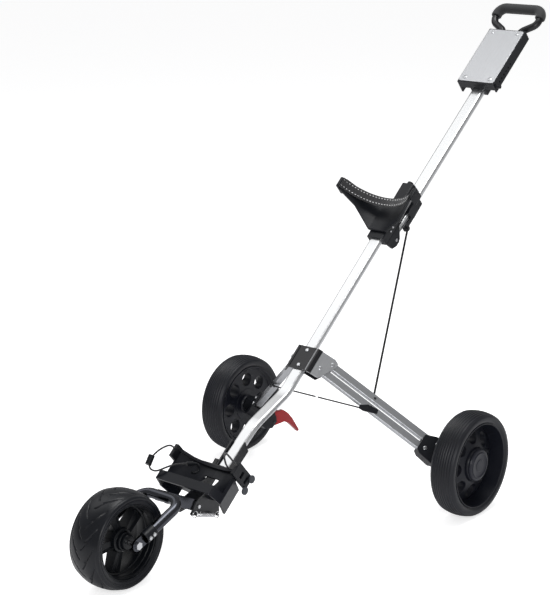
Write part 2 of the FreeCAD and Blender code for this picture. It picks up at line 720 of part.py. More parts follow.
def window_openings(count, inner, outer):
    """Rounded triangular windows between the spokes."""
    windows = []
    for index in range(count):
        points = [(outer * math.cos(a), outer * math.sin(a)) for a in
                  (math.radians(-21), math.radians(0), math.radians(21))] + [(inner, 5), (inner, -5)]
        window = plate(points, 140, 4.0)
        window.translate(Vector(0, 0, -70))
        lean = Rotation(Vector(1, 0, 0), 360 * (index + 0.5) / count)
        window.Placement = Placement(Vector(0, 0, 0), lean.multiply(Rotation(Vector(0, 1, 0), 90)))
        windows.append(window)
    return windows


SEAT_GAP = 0.1
CAP_WIDTH = 6.0
HOLE_RING, HOLE_R, HOLE_COUNT = 64.0, 16.5, 8
RIM_R = size("rear_rim_dia") / 2
FRONT_RIM_R = size("front_rim_dia") / 2
FRONT_HALF = size("front_wheel_width") / 2
for side, name in SIDES:
    hub = Placement(Vector(side * AXLE_POINT.x, REAR_AXLE_Y, REAR_R), Rotation())
    add("rear_tyre_" + name, make_tyre(REAR_R, REAR_HALF, RIM_R, 4.9), hub)
    wheel = make_spoked_wheel(RIM_R - SEAT_GAP, REAR_HALF, 6.0, HUB_R, AXLE_R + CLEAR,
                              round_openings(HOLE_COUNT, HOLE_RING, HOLE_R))
    outer_face = REAR_HALF - 8
    recess = cylinder((side * (outer_face - 7), 0, 0), (side, 0, 0), 11.0, 8.0)
    add("rear_wheel_" + name, wheel.cut(recess), hub)
    cap_spot = Vector(side * (AXLE_POINT.x + outer_face + CAP_WIDTH / 2), REAR_AXLE_Y, REAR_R)
    turned_body("hub_cap_" + name, Placement(cap_spot, Rotation()),
                "14", "sizes.rear_rim_dia * 3 / 16", str(CAP_WIDTH), "2")
FRONT_HUB = Placement(Vector(0, FRONT_AXLE_Y, FRONT_R), Rotation())
add("front_tyre", make_tyre(FRONT_R, FRONT_HALF, FRONT_RIM_R, 7.0), FRONT_HUB)
add("front_wheel", make_spoked_wheel(FRONT_RIM_R - SEAT_GAP, FRONT_HALF, 7.0, 22.0, AXLE_R + CLEAR,
                                     window_openings(5, 32.0, 58.0)), FRONT_HUB)

# ------------------------------------------------------------------ front fork
FORK_R = size("fork_tube_dia") / 2
FORK_HALF = size("fork_half")
CROSS_POINT = Vector(0, REAR_AXLE_Y - 642.0, 155.0)
FORK_PIVOT = Vector(0, REAR_AXLE_Y - 551.0, 108.0)
AXLE_FRONT = Vector(0, FRONT_AXLE_Y, FRONT_R)
FORK_SLOPE = (CROSS_POINT - AXLE_FRONT).normalize()
FORK_BEND = 30.0
CHEEK_IN, CHEEK_T = LOW_W / 2 + 0.4, 3.5
STEM_OUT = CHEEK_IN - 0.8


def make_fork_stem():
    """Two plates from the crossbar to the fold pin."""
    reach = FORK_PIVOT - CROSS_POINT
    lean = math.degrees(math.atan2(reach.z, reach.y))
    arm = box((0, -12, 0), (reach.Length, 12, 3.5)).fuse(cylinder((reach.Length, 0, 0),
                                                                 (0, 0, 1), 12, 3.5))
    turn = Rotation(Vector(1, 0, 0), lean).multiply(Rotation(Vector(1, 1, 1), 120))
    plates = []
    for start_x in (STEM_OUT - 3.5, -STEM_OUT):
        one = arm.copy()
        one.Placement = Placement(Vector(start_x, CROSS_POINT.y, CROSS_POINT.z), turn)
        plates.append(one)
    spacer = cylinder((-STEM_OUT, FORK_PIVOT.y, FORK_PIVOT.z), (1, 0, 0), 8.0, 2 * STEM_OUT)
    solid = plates[0].fuse([plates[1], spacer])
    around = cylinder((-60, CROSS_POINT.y, CROSS_POINT.z), (1, 0, 0), FORK_R - WALL, 120)
    hole = cylinder((-30, FORK_PIVOT.y, FORK_PIVOT.z), (1, 0, 0), HINGE_R + CLEAR, 60)
    return solid.cut(around).cut(hole)


def make_fork():
    """Bent tube over the wheel, an axle tab at each end, and the welded stem to the fold pin."""
    start = AXLE_FRONT + FORK_SLOPE * 34.0
    route = [Vector(FORK_HALF, start.y, start.z), Vector(FORK_HALF, CROSS_POINT.y, CROSS_POINT.z),
             Vector(-FORK_HALF, CROSS_POINT.y, CROSS_POINT.z), Vector(-FORK_HALF, start.y, start.z)]
    tube = round_tube(route, [FORK_BEND, FORK_BEND], FORK_R)
    tabs = []
    for side in (LEFT, RIGHT):
        tab = box((0, -13, -2.5), (52, 13, 2.5)).fuse(cylinder((0, 0, -2.5), (0, 0, 1), 13, 5))
        lean = math.degrees(math.atan2(FORK_SLOPE.z, FORK_SLOPE.y))
        turn = Rotation(Vector(1, 0, 0), lean).multiply(
            Rotation(Vector(1, 1, 1), 120))
        tab.Placement = Placement(Vector(side * FORK_HALF, AXLE_FRONT.y, AXLE_FRONT.z), turn)
        tabs.append(tab)
    hole = cylinder((-80, AXLE_FRONT.y, AXLE_FRONT.z), (1, 0, 0), AXLE_R, 160)
    return tube.fuse(tabs + [make_fork_stem()]).cut(hole)


add("fork", make_fork())


def make_front_axle():
    reach = FORK_HALF + 2.5
    rod = cylinder((-reach - 3, 0, 0), (1, 0, 0), AXLE_R, 2 * reach + 6)
    ends = []
    for side in (LEFT, RIGHT):
        nut = hexagon(15.0, 5.5, (0, 0, 0))
        start = reach if side == LEFT else -reach - 5.5
        nut.Placement = Placement(Vector(start, 0, 0), ACROSS)
        ends.append(nut)
    return rod.fuse(ends)


add("front_axle", make_front_axle(), Placement(AXLE_FRONT, Rotation()))


def make_fork_bolts():
    bolts = []
    for side in (LEFT, RIGHT):
        for along in (26.0, 41.0):
            spot = AXLE_FRONT + FORK_SLOPE * along
            start = Vector(side * (FORK_HALF + (2.5 if along < 30 else FORK_R - 0.5)), spot.y, spot.z)
            bolts.append(screw(start, (side, 0, 0), 4.2, 2.4, 1.8, 0.6))
    return Part.makeCompound(bolts)


add("fork_bolts", make_fork_bolts())
bore("fork", make_fork_bolts())



SPRING_X = 27.0
SPRING_TOP = Vector(SPRING_X, -372.0, 79.0)
SPRING_FOOT = Vector(SPRING_X, -334.0, 18.0)
LATCH_PIVOT = Vector(0, -300.0, 40.0)
LATCH_PIN_R = 3.0
STUD_R = 2.0
CHEEK_CREST = -264.0                       # where the cheeks' upper edge starts to fall away


def make_fork_cheeks():
    """Steel cheeks bolted to the lower tube's end, with the fork's and the latch's pin holes."""
    top = TUBE.multVec(Vector(0, -168, 52))
    under = TUBE.multVec(Vector(0, -176, 28))
    horn = TUBE.multVec(SPRING_TOP)
    crest = TUBE.multVec(Vector(0, CHEEK_CREST, 53))
    outline = [(crest.y, crest.z), (top.y, top.z), (under.y, under.z), (FORK_PIVOT.y + 40, FORK_PIVOT.z - 20),
               (FORK_PIVOT.y + 4, FORK_PIVOT.z - 14), (horn.y, horn.z - 6), (horn.y - 6, horn.z),
               (horn.y, horn.z + 6), (FORK_PIVOT.y - 8, FORK_PIVOT.z + 13)]
    cheek = profile(outline, CHEEK_IN, CHEEK_IN + CHEEK_T)
    hole = cylinder((0, FORK_PIVOT.y, FORK_PIVOT.z), (1, 0, 0), HINGE_R, 60)
    cheek = cheek.cut(hole)
    latch = TUBE.multVec(LATCH_PIVOT)
    reach = CHEEK_IN + CHEEK_T + 1.5
    latch_pin = cylinder((-reach, latch.y, latch.z), (1, 0, 0), LATCH_PIN_R, 2 * reach)
    stud = cylinder((CHEEK_IN + CHEEK_T, horn.y, horn.z), (1, 0, 0), STUD_R, SPRING_X - CHEEK_IN)
    return cheek.fuse([mirrored(cheek), latch_pin, stud])


add("fork_cheeks", make_fork_cheeks())
pin_body("fork_pin", "sizes.hinge_pin_dia / 2", "sizes.lower_tube_width + 12",
         Placement(FORK_PIVOT, ACROSS))

# ------------------------------------------------------------------ lower bag rest
TRAY_HALF, TRAY_LIP = size("tray_half"), size("tray_depth")
TRAY_LOW, TRAY_TOP = -340.0, -246.0
TRAY_WALL = 4.0
LIP_HALF = TRAY_HALF - 7.0
SADDLE_IN = [(0, 62), (30, 64), (62, 74), (TRAY_HALF, 98)]
SADDLE_OUT = [(TRAY_HALF, 88), (64, 69), (32, 59), (0, 57)]
BASE_AT = TRAY_LOW + 18.0


def make_tray():
    """Saddle for the bag's side and a hollow-backed lip for its bottom edge."""
    saddle = section_prism(SADDLE_IN + SADDLE_OUT, BASE_AT, TRAY_TOP)
    ridge = section_prism([(0, 68), (30, 70), (60, 80), (TRAY_HALF, 104)] + SADDLE_OUT,
                          TRAY_TOP - 7, TRAY_TOP)
    base = section_prism([(0, 57), (32, 59), (64, 69), (TRAY_HALF, 92), (TRAY_HALF, 104),
                          (LIP_HALF, TRAY_LIP), (0, TRAY_LIP)], BASE_AT, BASE_AT + TRAY_WALL)
    lip = section_prism([(0, TRAY_LIP), (LIP_HALF, TRAY_LIP), (TRAY_HALF, 104), (TRAY_HALF + 4, 98),
                         (71, 48), (67, 51), (TRAY_HALF - 2, 98), (LIP_HALF - 4, TRAY_LIP - 6),
                         (0, TRAY_LIP - 6)], TRAY_LOW, BASE_AT + TRAY_WALL)
    cheek = section_prism([(TRAY_HALF, 104), (TRAY_HALF + 4, 98), (71, 48), (67, 51),
                           (TRAY_HALF - 2, 98)], BASE_AT, TRAY_TOP - 31)
    half = saddle.fuse([ridge, base, lip, cheek])
    tray = half.fuse(mirrored(half))
    reach = CHEEK_IN + CHEEK_T + FIT
    socket = box((-reach, TRAY_LOW - 20, -20), (reach, TRAY_TOP + 1, 46))
    trough = box((-reach, TRAY_LOW - 20, 20), (reach, CHEEK_CREST - 10, 100))
    return tray.cut(socket).cut(trough)


add("tray", make_tray(), TUBE)
BRACKET_T = 6.0
BRACKET_N = 60.0
FOOT_BACK, FOOT_TOP = 28.0, TRAY_TOP + 22.0


def make_tray_bracket():
    """Black cross plate behind the tray, its foot clamped on the end of the lower tube."""
    cross = section_prism([(-62, 50), (-40, 26), (40, 26), (62, 50), (52, BRACKET_N),
                           (-52, BRACKET_N)], TRAY_TOP, TRAY_TOP + BRACKET_T)
    foot = box((-30, TRAY_TOP + BRACKET_T, FOOT_BACK), (30, FOOT_TOP, BRACKET_N - 6))
    reach = CHEEK_IN + CHEEK_T + FIT
    tube = box((-reach, TRAY_TOP - 1, 10), (reach, FOOT_TOP + 1, 54))
    return cross.fuse(foot).cut(tube)


def tray_screws():
    return [screw((x, TRAY_TOP + 14, FOOT_BACK), (0, 0, -1), 4.2, 2.4, 1.9, 3.0)
            for x in (-23, 23)]


HOLDER_OUT = TRAY_HALF + 9.0
HOLDER_TOP = 118.0


def make_cord_holders():
    """Slotted blocks on the tray's wings that grip the elastic cords."""
    block = box((TRAY_HALF, TRAY_TOP - 30, 56), (HOLDER_OUT, TRAY_TOP + 2, HOLDER_TOP))
    block = block.makeFillet(2.5, [edge for edge in block.Edges
                                   if abs(edge.tangentAt(edge.FirstParameter).x) > 0.99])
    for low in (68, 88):
        block = block.cut(box((TRAY_HALF - 1, TRAY_TOP - 23, low), (HOLDER_OUT + 1, TRAY_TOP - 7, low + 7)))
    return both_sides(block)


def make_cord_tabs():
    """Grey moulded thumb tabs on the cord holders."""
    tabs = [cylinder((HOLDER_OUT, along, across), (1, 0, 0), 9.0, 5.0)
            for along, across in ((TRAY_TOP - 4, 60), (TRAY_TOP - 34, 60))]
    return Part.makeCompound(tabs + [mirrored(tab) for tab in tabs])


add("tray_bracket", make_tray_bracket(), TUBE)
add("cord_holders", make_cord_holders(), TUBE)
add("cord_tabs", make_cord_tabs(), TUBE)
frame_screws = Part.makeCompound(clamp_screws() + bracket_screws() + tray_screws())
add("frame_screws", frame_screws, TUBE)
for name in ("hinge_clamp", "leg_bracket", "tray_bracket"):
    bore(name, frame_screws, TUBE)


def in_tube(points):
    return [Vector(*point) for point in points]


CORD_R = size("bungee_dia") / 2
CORD_X = (TRAY_HALF + HOLDER_OUT) / 2
CORD_LEFT = in_tube([(CORD_X, -254, HOLDER_TOP), (CORD_X, -254, 134), (75, -247, 143),
                     (57, -241, 135), (42, -238, 116), (31, -239, 94), (28, -243, 76),
                     (27, -243, BRACKET_N)])
CORD_RIGHT = in_tube([(-CORD_X, -256, HOLDER_TOP), (-CORD_X, -256, 133), (-92, -274, 147),
                      (-97, -294, 153), (-100, -313, 152), (-94, -330, 147), (-76, -331, 143),
                      (-62, -315, 140), (-51, -294, 129), (-41, -279, 110)])
TOGGLE_AT = 4                   # which point of the right cord carries its toggle


def make_bungee(points):
    return round_tube(points, cord_radii(points), CORD_R)


def make_bungee_ends():
    """Toggle threaded on the right cord, and the hook moulded on that cord's end."""
    spot = CORD_RIGHT[TOGGLE_AT]
    heading = (CORD_RIGHT[TOGGLE_AT + 1] - CORD_RIGHT[TOGGLE_AT - 1]).normalize()
    toggle = Part.makeCylinder(7.0, 22.0, spot - heading * 11.0, heading).cut(make_bungee(CORD_RIGHT))
    end = CORD_RIGHT[-1]
    along = (end - CORD_RIGHT[-2]).normalize()
    across = along.cross(Vector(1, 0, 0)).normalize()
    ferrule = Part.makeCylinder(5.0, 14.0, end, along)
    bend = [end + along * 14.0, end + along * 30.0, end + along * 30.0 + across * 20.0,
            end + along * 14.0 + across * 20.0]
    hook = round_tube(bend, [9.5, 9.5], 3.0)
    return Part.makeCompound([toggle, ferrule.fuse(hook)])


add("bungee_left", make_bungee(CORD_LEFT), TUBE)
add("bungee_right", make_bungee(CORD_RIGHT), TUBE)
add("bungee_ends", make_bungee_ends(), TUBE)

# ------------------------------------------------------------------ fork release
LEVER_PIVOT = Vector(0, -74.0, -7.0)
LEVER_PIN_R = 2.0


def solid_tube_part(low, high):
    """The lower tube's outer form between two places, a little oversize."""
    spine = route_wire(BEND, [BEND_RADIUS, BEND_RADIUS])
    ring = rounded_ring(LOW_W + 2 * FIT, LOW_D + 2 * FIT, TUBE_CORNER)
    ring.translate(BEND[0])
    return spine.makePipeShell([ring], True, True).common(box((-30, low, -60), (30, high, 80)))


def make_lever_base():
    outline = [(-56, 20), (-104, 36), (-103, 6), (-88, -14), (-68, -16), (-62, -6)]
    block = profile(outline, -9, 9).cut(solid_tube_part(-110, -50))
    slot = box((-4.5, -90, -40), (4.5, -40, 4.5))
    pin = cylinder((-9.6, LEVER_PIVOT.y, LEVER_PIVOT.z), (1, 0, 0), LEVER_PIN_R, 19.2)
    return block.cut(slot).fuse(pin)


def make_release_lever():
    outline = [(-80, -12), (-66, 1), (-44, -10), (-34, -20), (-29, -40), (-28, -62), (-32, -102),
               (-37, -103), (-40, -78), (-43, -60), (-50, -44), (-62, -34), (-78, -20)]
    blade = profile(outline, -4, 4)
    hole = cylinder((-10, LEVER_PIVOT.y, LEVER_PIVOT.z), (1, 0, 0), LEVER_PIN_R + CLEAR, 20)
    return blade.cut(hole)


add("lever_base", make_lever_base(), TUBE)
add("release_lever", make_release_lever(), TUBE)
CABLE_ROUTE = in_tube([(0, -104.5, 8), (0, -128, 17), (0, -160, 27), (0, -196, 30), (0, -238, 30.4),
                       (0, -281, 27)])
add("release_cable", round_tube(CABLE_ROUTE, cord_radii(CABLE_ROUTE), 1.5), TUBE)


def make_fork_latch():
    """Sprung hook between the cheeks, its nose under the fork's stem."""
    outline = [(-290, 50), (-308, 52), (-336, 44), (-346, 22), (-334, 0), (-318, -8), (-306, 6),
               (-292, 18), (-282.5, 30)]
    hook = profile(outline, -8, 8)
    stud = cylinder((0, SPRING_FOOT.y, SPRING_FOOT.z), (1, 0, 0), STUD_R, SPRING_X + 4)
    hole = cylinder((-10, LATCH_PIVOT.y, LATCH_PIVOT.z), (1, 0, 0), LATCH_PIN_R + CLEAR, 20)
    pivot = TUBE_INVERSE.multVec(FORK_PIVOT)
    return hook.fuse(stud).cut(hole).cut(cylinder((-20, pivot.y, pivot.z), (1, 0, 0), 24.0, 40))


add("fork_latch", make_fork_latch(), TUBE)


def make_latch_spring():
    """Outer form of the coil, with a ring at each end about a stud."""
    span = SPRING_FOOT - SPRING_TOP
    along = span.normalize() * 8.0
    start, length = SPRING_TOP + along, (SPRING_FOOT - SPRING_TOP).Length - 16.0
    coil = Part.makeCylinder(5.0, length, start, along).cut(
        Part.makeCylinder(3.4, length, start, along))
    rings = [cylinder((SPRING_X - 1, end.y, end.z), (1, 0, 0), 8.5, 2.0).cut(
        cylinder((SPRING_X - 2, end.y, end.z), (1, 0, 0), 6.0, 4.0)) for end in
        (SPRING_TOP, SPRING_FOOT)]
    return coil.fuse(rings)


add("latch_spring", make_latch_spring(), TUBE)

# ------------------------------------------------------------------ upper tube and its hinge half
TUBE_TAIL = 13.0


def make_upper_tube():
    tube = straight_box_tube(UP_W, UP_D, TUBE_CORNER, WALL, size("upper_tube_length") + TUBE_TAIL)
    tube.translate(Vector(0, -TUBE_TAIL, 0))
    return tube.cut(cylinder((-40, 0, 0), (1, 0, 0), HINGE_R + CLEAR, 80))


add("upper_tube", make_upper_tube(), UPPER)
BLOCK_LOW, BLOCK_TOP = 74.0, 126.0
FOLD_LATCH_PIVOT = Vector(0, 116.0, -18.0)
THUMB_PIN_R = 1.5
ROD_TOP = Vector(UP_W / 2 + 9.1, size("hinge_along") + 45.0, -HINGE_BACK - 10.0)
ROD_HEAD_R = 6.0
ROD_BOLT_R = 3.4


def make_hinge_block():
    """Black block clamped on the upper tube, with the thumb lever's ears and the rod's arm."""
    outline = [(BLOCK_LOW, -10), (BLOCK_LOW + 8, -15), (BLOCK_TOP, -13), (BLOCK_TOP, 13),
               (BLOCK_LOW + 10, 15), (BLOCK_LOW, 12)]
    half = UP_W / 2 + 5
    block = profile(outline, -half, half)
    rod_spot = UPPER.inverse().multVec(TUBE.multVec(ROD_TOP))
    arm = box((UP_W / 2, rod_spot.y - 7, rod_spot.z - 5), (half, BLOCK_LOW + 10, rod_spot.z + 6))
    ears = [box((9.6, 110, -22), (13.6, 122, -12)), box((-13.6, 110, -22), (-9.6, 122, -12))]
    pin = cylinder((-13.6, FOLD_LATCH_PIVOT.y, FOLD_LATCH_PIVOT.z), (1, 0, 0), THUMB_PIN_R, 27.2)
    core = Part.Face(rounded_ring(UP_W, UP_D, TUBE_CORNER)).extrude(Vector(0, 200, 0))
    return block.fuse([arm, pin] + ears).cut(core)


add("hinge_block", make_hinge_block(), UPPER)


def make_fold_latch():
    """Thumb lever on the back of the hinge block."""
    outline = [(84, -16), (104, -16), (112, -15), (121, -15), (122, -22), (110, -24), (90, -21),
               (80, -22), (80, -18)]
    lever = profile(outline, -9, 9)
    return lever.cut(cylinder((-10, FOLD_LATCH_PIVOT.y, FOLD_LATCH_PIVOT.z), (1, 0, 0),
                              THUMB_PIN_R + CLEAR, 20))


add("fold_latch", make_fold_latch(), UPPER)
ROD_R = size("fold_rod_dia") / 2
ROD_BOTTOM = LEG_IN_TUBE.multVec(ROD_FOOT + Vector(0, 0, -PLATE_V - 3.0))
FOLD_ANGLE, LEG_FOLD = 162.0, 75.0          # handle and legs, from open to folded


def rod_turn():
    """Axis in the leg bar that brings the rod's top to its block both open and folded."""
    hinge = Vector(0, size("hinge_along"), -HINGE_BACK)
    root = LEG_IN_TUBE.multVec(UPPER_ROOT)
    across_leg = LEG_IN_TUBE.Rotation.multVec(Vector(0, 0, 1))
    folded = hinge + Rotation(Vector(-1, 0, 0), FOLD_ANGLE).multVec(ROD_TOP - hinge)
    in_open_leg = root + Rotation(across_leg, LEG_FOLD).multVec(folded - root)
    return (ROD_TOP - ROD_BOTTOM).cross(in_open_leg - ROD_BOTTOM).normalize()


ROD_TURN = rod_turn()


def make_fold_rod():
    """Straight rod: a bolted eye beside the block's arm, and a foot turned into the leg bar."""
    span = ROD_BOTTOM - ROD_TOP
    rod = Part.makeCylinder(ROD_R, span.Length, ROD_TOP, span)
    head = cylinder((ROD_TOP.x - 2.4, ROD_TOP.y, ROD_TOP.z), (1, 0, 0), ROD_HEAD_R, 4.8)
    bolt = cylinder((ROD_TOP.x - 3.1, ROD_TOP.y, ROD_TOP.z), (1, 0, 0), ROD_BOLT_R, 7.0)
    foot_end = ROD_BOTTOM - ROD_TURN * 3.0
    foot = cylinder(foot_end, ROD_TURN, LEG_PIN_R, 16.0)
    collar = cylinder(foot_end, ROD_TURN, 5.0, 5.0)
    return rod.fuse([head, bolt, foot, collar])


add("fold_rod", make_fold_rod(), TUBE)
bore("leg_bar_upper_left", cylinder(ROD_BOTTOM, ROD_TURN, LEG_PIN_R + CLEAR, 2 * BAR_D), TUBE)

# ------------------------------------------------------------------ console
CONSOLE_LOW = 485.7
CONSOLE_HIGH = CONSOLE_LOW + size("console_length")
CONSOLE_HALF = size("console_width") / 2
DECK = 29.0
WALL_T = 4.0
TEE_R, TEE_COUNT, TEE_PITCH = 2.6, 6, 12.0
BALL_SLOT = (44.0, 15.0)


def make_console_frame():
    deck = box((-CONSOLE_HALF, CONSOLE_LOW - 3, DECK - 5), (CONSOLE_HALF, CONSOLE_HIGH + 3, DECK))
    sides = [box((CONSOLE_HALF - WALL_T, CONSOLE_LOW - 3, 2), (CONSOLE_HALF, CONSOLE_HIGH + 3, DECK)),
             box((-CONSOLE_HALF, CONSOLE_LOW - 3, -8), (-CONSOLE_HALF + WALL_T, CONSOLE_HIGH + 3, DECK))]
    ends = [box((-CONSOLE_HALF, CONSOLE_LOW - 3, 8), (CONSOLE_HALF, CONSOLE_LOW + 1, DECK)),
            box((-CONSOLE_HALF, CONSOLE_HIGH - 1, 8), (CONSOLE_HALF, CONSOLE_HIGH + 3, DECK))]
    socket = box((-UP_W / 2 - 5, CONSOLE_LOW - 3, -UP_D / 2 - 4),
                 (UP_W / 2 + 5, CONSOLE_LOW + 82, DECK - 4))
    frame = deck.fuse(sides + ends + [socket])
    core = Part.Face(rounded_ring(UP_W, UP_D, TUBE_CORNER)).extrude(Vector(0, 900, 0))
    frame = frame.cut(core)
    for index in range(TEE_COUNT):
        along = CONSOLE_LOW + 22 + index * TEE_PITCH
        frame = frame.cut(cylinder((CONSOLE_HALF - WALL_T - 1, along, 14), (1, 0, 0), TEE_R, WALL_T + 2))
    for along in (CONSOLE_LOW + 50, CONSOLE_LOW + 125):
        ball = cylinder((-CONSOLE_HALF - 1, along, 10), (1, 0, 0), BALL_SLOT[1] - 2, WALL_T + 2)
        frame = frame.cut(ball)
    for x in (-26, 26):
        frame = frame.cut(cylinder((x, CONSOLE_HIGH - 10, 12), (0, 1, 0), size("handle_tube_dia") / 2, 30))
    return frame.fuse(cylinder((CONSOLE_HALF, CONSOLE_LOW + 4, 16), (1, 0, 0), 5.0, 12.0))


add("console_frame", make_console_frame(), UPPER)
card = doc.addObject("Part::Box", "scorecard_blank")
card.setExpression("Length", "sizes.console_width - 4")
card.setExpression("Width", "sizes.console_length")
card.Height = 2.0
doc.recompute()
rounded = doc.addObject("Part::Fillet", "scorecard_plate")
rounded.Label = "scorecard_plate"
rounded.Base = card
rounded.Edges = [(i + 1, 6.0, 6.0) for i, edge in enumerate(card.Shape.Edges)
                 if abs(edge.tangentAt(edge.FirstParameter).z) > 0.99]
doc.recompute()
rounded.Placement = UPPER.multiply(Placement(Vector(-CONSOLE_HALF + 2, CONSOLE_LOW, DECK), Rotation()))

# ------------------------------------------------------------------ handle
TUBE_R = size("handle_tube_dia") / 2
HANDLE_HALF = size("handle_half")
REACH = size("handle_reach")
HANDLE_ROUTE = [Vector(26, CONSOLE_HIGH - 9, 12), Vector(26, CONSOLE_HIGH + 16, 12),
                Vector(HANDLE_HALF, REACH - 42, 17), Vector(HANDLE_HALF, REACH, HANDLE_RISE)]
HANDLE_RADII = [18.0, 22.0, 22.0]


def looped(points, radii):
    """A route and its mirror image joined by the crossbar."""
    far = [Vector(-p.x, p.y, p.z) for p in reversed(points)]
    return points + far, radii + list(reversed(radii))


points, radii = looped(HANDLE_ROUTE, HANDLE_RADII)
add("handle", round_tube(points, radii, TUBE_R, TUBE_R - WALL), UPPER)
corner = HANDLE_ROUTE[-1]
below = corner + (HANDLE_ROUTE[-2] - corner).normalize() * 26.0
grip_points, grip_radii = looped([below, corner], [22.0])
add("handle_grip", round_tube(grip_points, grip_radii, size("grip_dia") / 2, TUBE_R), UPPER)

# ------------------------------------------------------------------ checks and export
doc.recompute()
HELPERS = {"scorecard_blank"}
parts = {}
for item in doc.Objects:
    if {"Invalid", "Error"} & set(item.State):
        raise RuntimeError(f"{item.Name} failed: {item.State}")
    owner = item.getParentGeoFeatureGroup()
    is_part = item.isDerivedFrom("Part::Feature") and owner is None and item.Name not in HELPERS
    if is_part:
        shape = item.Shape
        if shape.isNull() or not shape.isValid():
            raise RuntimeError(f"{item.Label} has no sound shape")
        parts[item.Label] = shape

os.makedirs("parts", exist_ok=True)
for name, shape in sorted(parts.items()):
    shape.exportStep(f"parts/{name}.step")
print(len(parts), "parts; rear axle at Y", round(REAR_AXLE_Y, 2))
for title, cord in (("left", CORD_LEFT), ("right", CORD_RIGHT), ("release", CABLE_ROUTE)):
    print(title, "cord radii", [round(r, 1) for r in cord_radii(cord)])
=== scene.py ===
"""Looks of a folding three-wheel golf push cart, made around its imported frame.

Blender units are metres and +Z is up.  The front wheel points to -Y, the handle to +Y, left is +X.
Shapes are drawn in millimetres in a local frame and then placed.
"""
import json
import math

import bmesh
import bpy
from mathutils import Matrix, Vector

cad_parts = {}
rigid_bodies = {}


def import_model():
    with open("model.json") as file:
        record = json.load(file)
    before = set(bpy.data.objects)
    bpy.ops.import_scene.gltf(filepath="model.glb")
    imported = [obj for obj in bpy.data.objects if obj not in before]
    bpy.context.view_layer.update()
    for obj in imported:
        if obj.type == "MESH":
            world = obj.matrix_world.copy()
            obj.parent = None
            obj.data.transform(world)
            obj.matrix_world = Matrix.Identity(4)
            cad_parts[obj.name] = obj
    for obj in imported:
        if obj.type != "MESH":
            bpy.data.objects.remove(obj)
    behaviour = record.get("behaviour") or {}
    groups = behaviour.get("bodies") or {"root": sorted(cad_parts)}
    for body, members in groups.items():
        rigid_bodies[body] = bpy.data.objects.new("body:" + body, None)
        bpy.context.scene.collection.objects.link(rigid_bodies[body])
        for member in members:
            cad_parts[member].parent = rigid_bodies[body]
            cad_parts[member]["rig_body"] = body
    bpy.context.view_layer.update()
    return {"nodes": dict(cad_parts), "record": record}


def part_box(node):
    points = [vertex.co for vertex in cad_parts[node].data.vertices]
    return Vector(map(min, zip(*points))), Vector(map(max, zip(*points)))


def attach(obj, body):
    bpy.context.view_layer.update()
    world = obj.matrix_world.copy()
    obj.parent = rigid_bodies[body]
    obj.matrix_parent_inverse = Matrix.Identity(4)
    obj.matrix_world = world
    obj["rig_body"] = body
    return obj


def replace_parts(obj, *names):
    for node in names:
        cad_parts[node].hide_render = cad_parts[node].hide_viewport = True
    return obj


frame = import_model()

MM = 0.001
SLOT_OF = {part["node"]: part["material_slot"] for part in frame["record"]["subparts"]}


def middle(node):
    low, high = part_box(node)
    return (low + high) / 2


# ------------------------------------------------------------------ places on the frame
REAR_HUBS = {1: middle("rear_tyre_left"), -1: middle("rear_tyre_right")}
FRONT_HUB = middle("front_tyre")
FOLD_PIN = middle("fold_pin")
TUBE_ANGLE = math.radians(40.3)
UPPER_ANGLE = math.radians(39.4)
TUBE_OFFSET = 364.6 * MM         # lower tube's axis to the rear axle's ground point
TUBE_ROOT = Vector((0, REAR_HUBS[1].y - TUBE_OFFSET * math.sin(TUBE_ANGLE),
                    TUBE_OFFSET * math.cos(TUBE_ANGLE)))
SHRINK = Matrix.Scale(MM, 4)
TUBE = Matrix.Translation(TUBE_ROOT) @ Matrix.Rotation(TUBE_ANGLE, 4, "X") @ SHRINK
UPPER = Matrix.Translation(FOLD_PIN) @ Matrix.Rotation(UPPER_ANGLE, 4, "X") @ SHRINK
HALF_TURN = Matrix.Rotation(math.pi, 4, "Z")
SIDES = ((1, "left"), (-1, "right"))


# ------------------------------------------------------------------ materials
class Value:
    """A socket's output; arithmetic on it adds Math nodes."""

    def __init__(self, finish, socket):
        self.finish = finish
        self.socket = socket

    def math(self, operation, first, second):
        return self.finish.node("ShaderNodeMath", {"operation": operation}, {0: first, 1: second})

    def __add__(self, other):
        return self.math("ADD", self, other)

    def __radd__(self, other):
        return self.math("ADD", other, self)

    def __sub__(self, other):
        return self.math("SUBTRACT", self, other)

    def __rsub__(self, other):
        return self.math("SUBTRACT", other, self)

    def __mul__(self, other):
        return self.math("MULTIPLY", self, other)

    def __rmul__(self, other):
        return self.math("MULTIPLY", other, self)


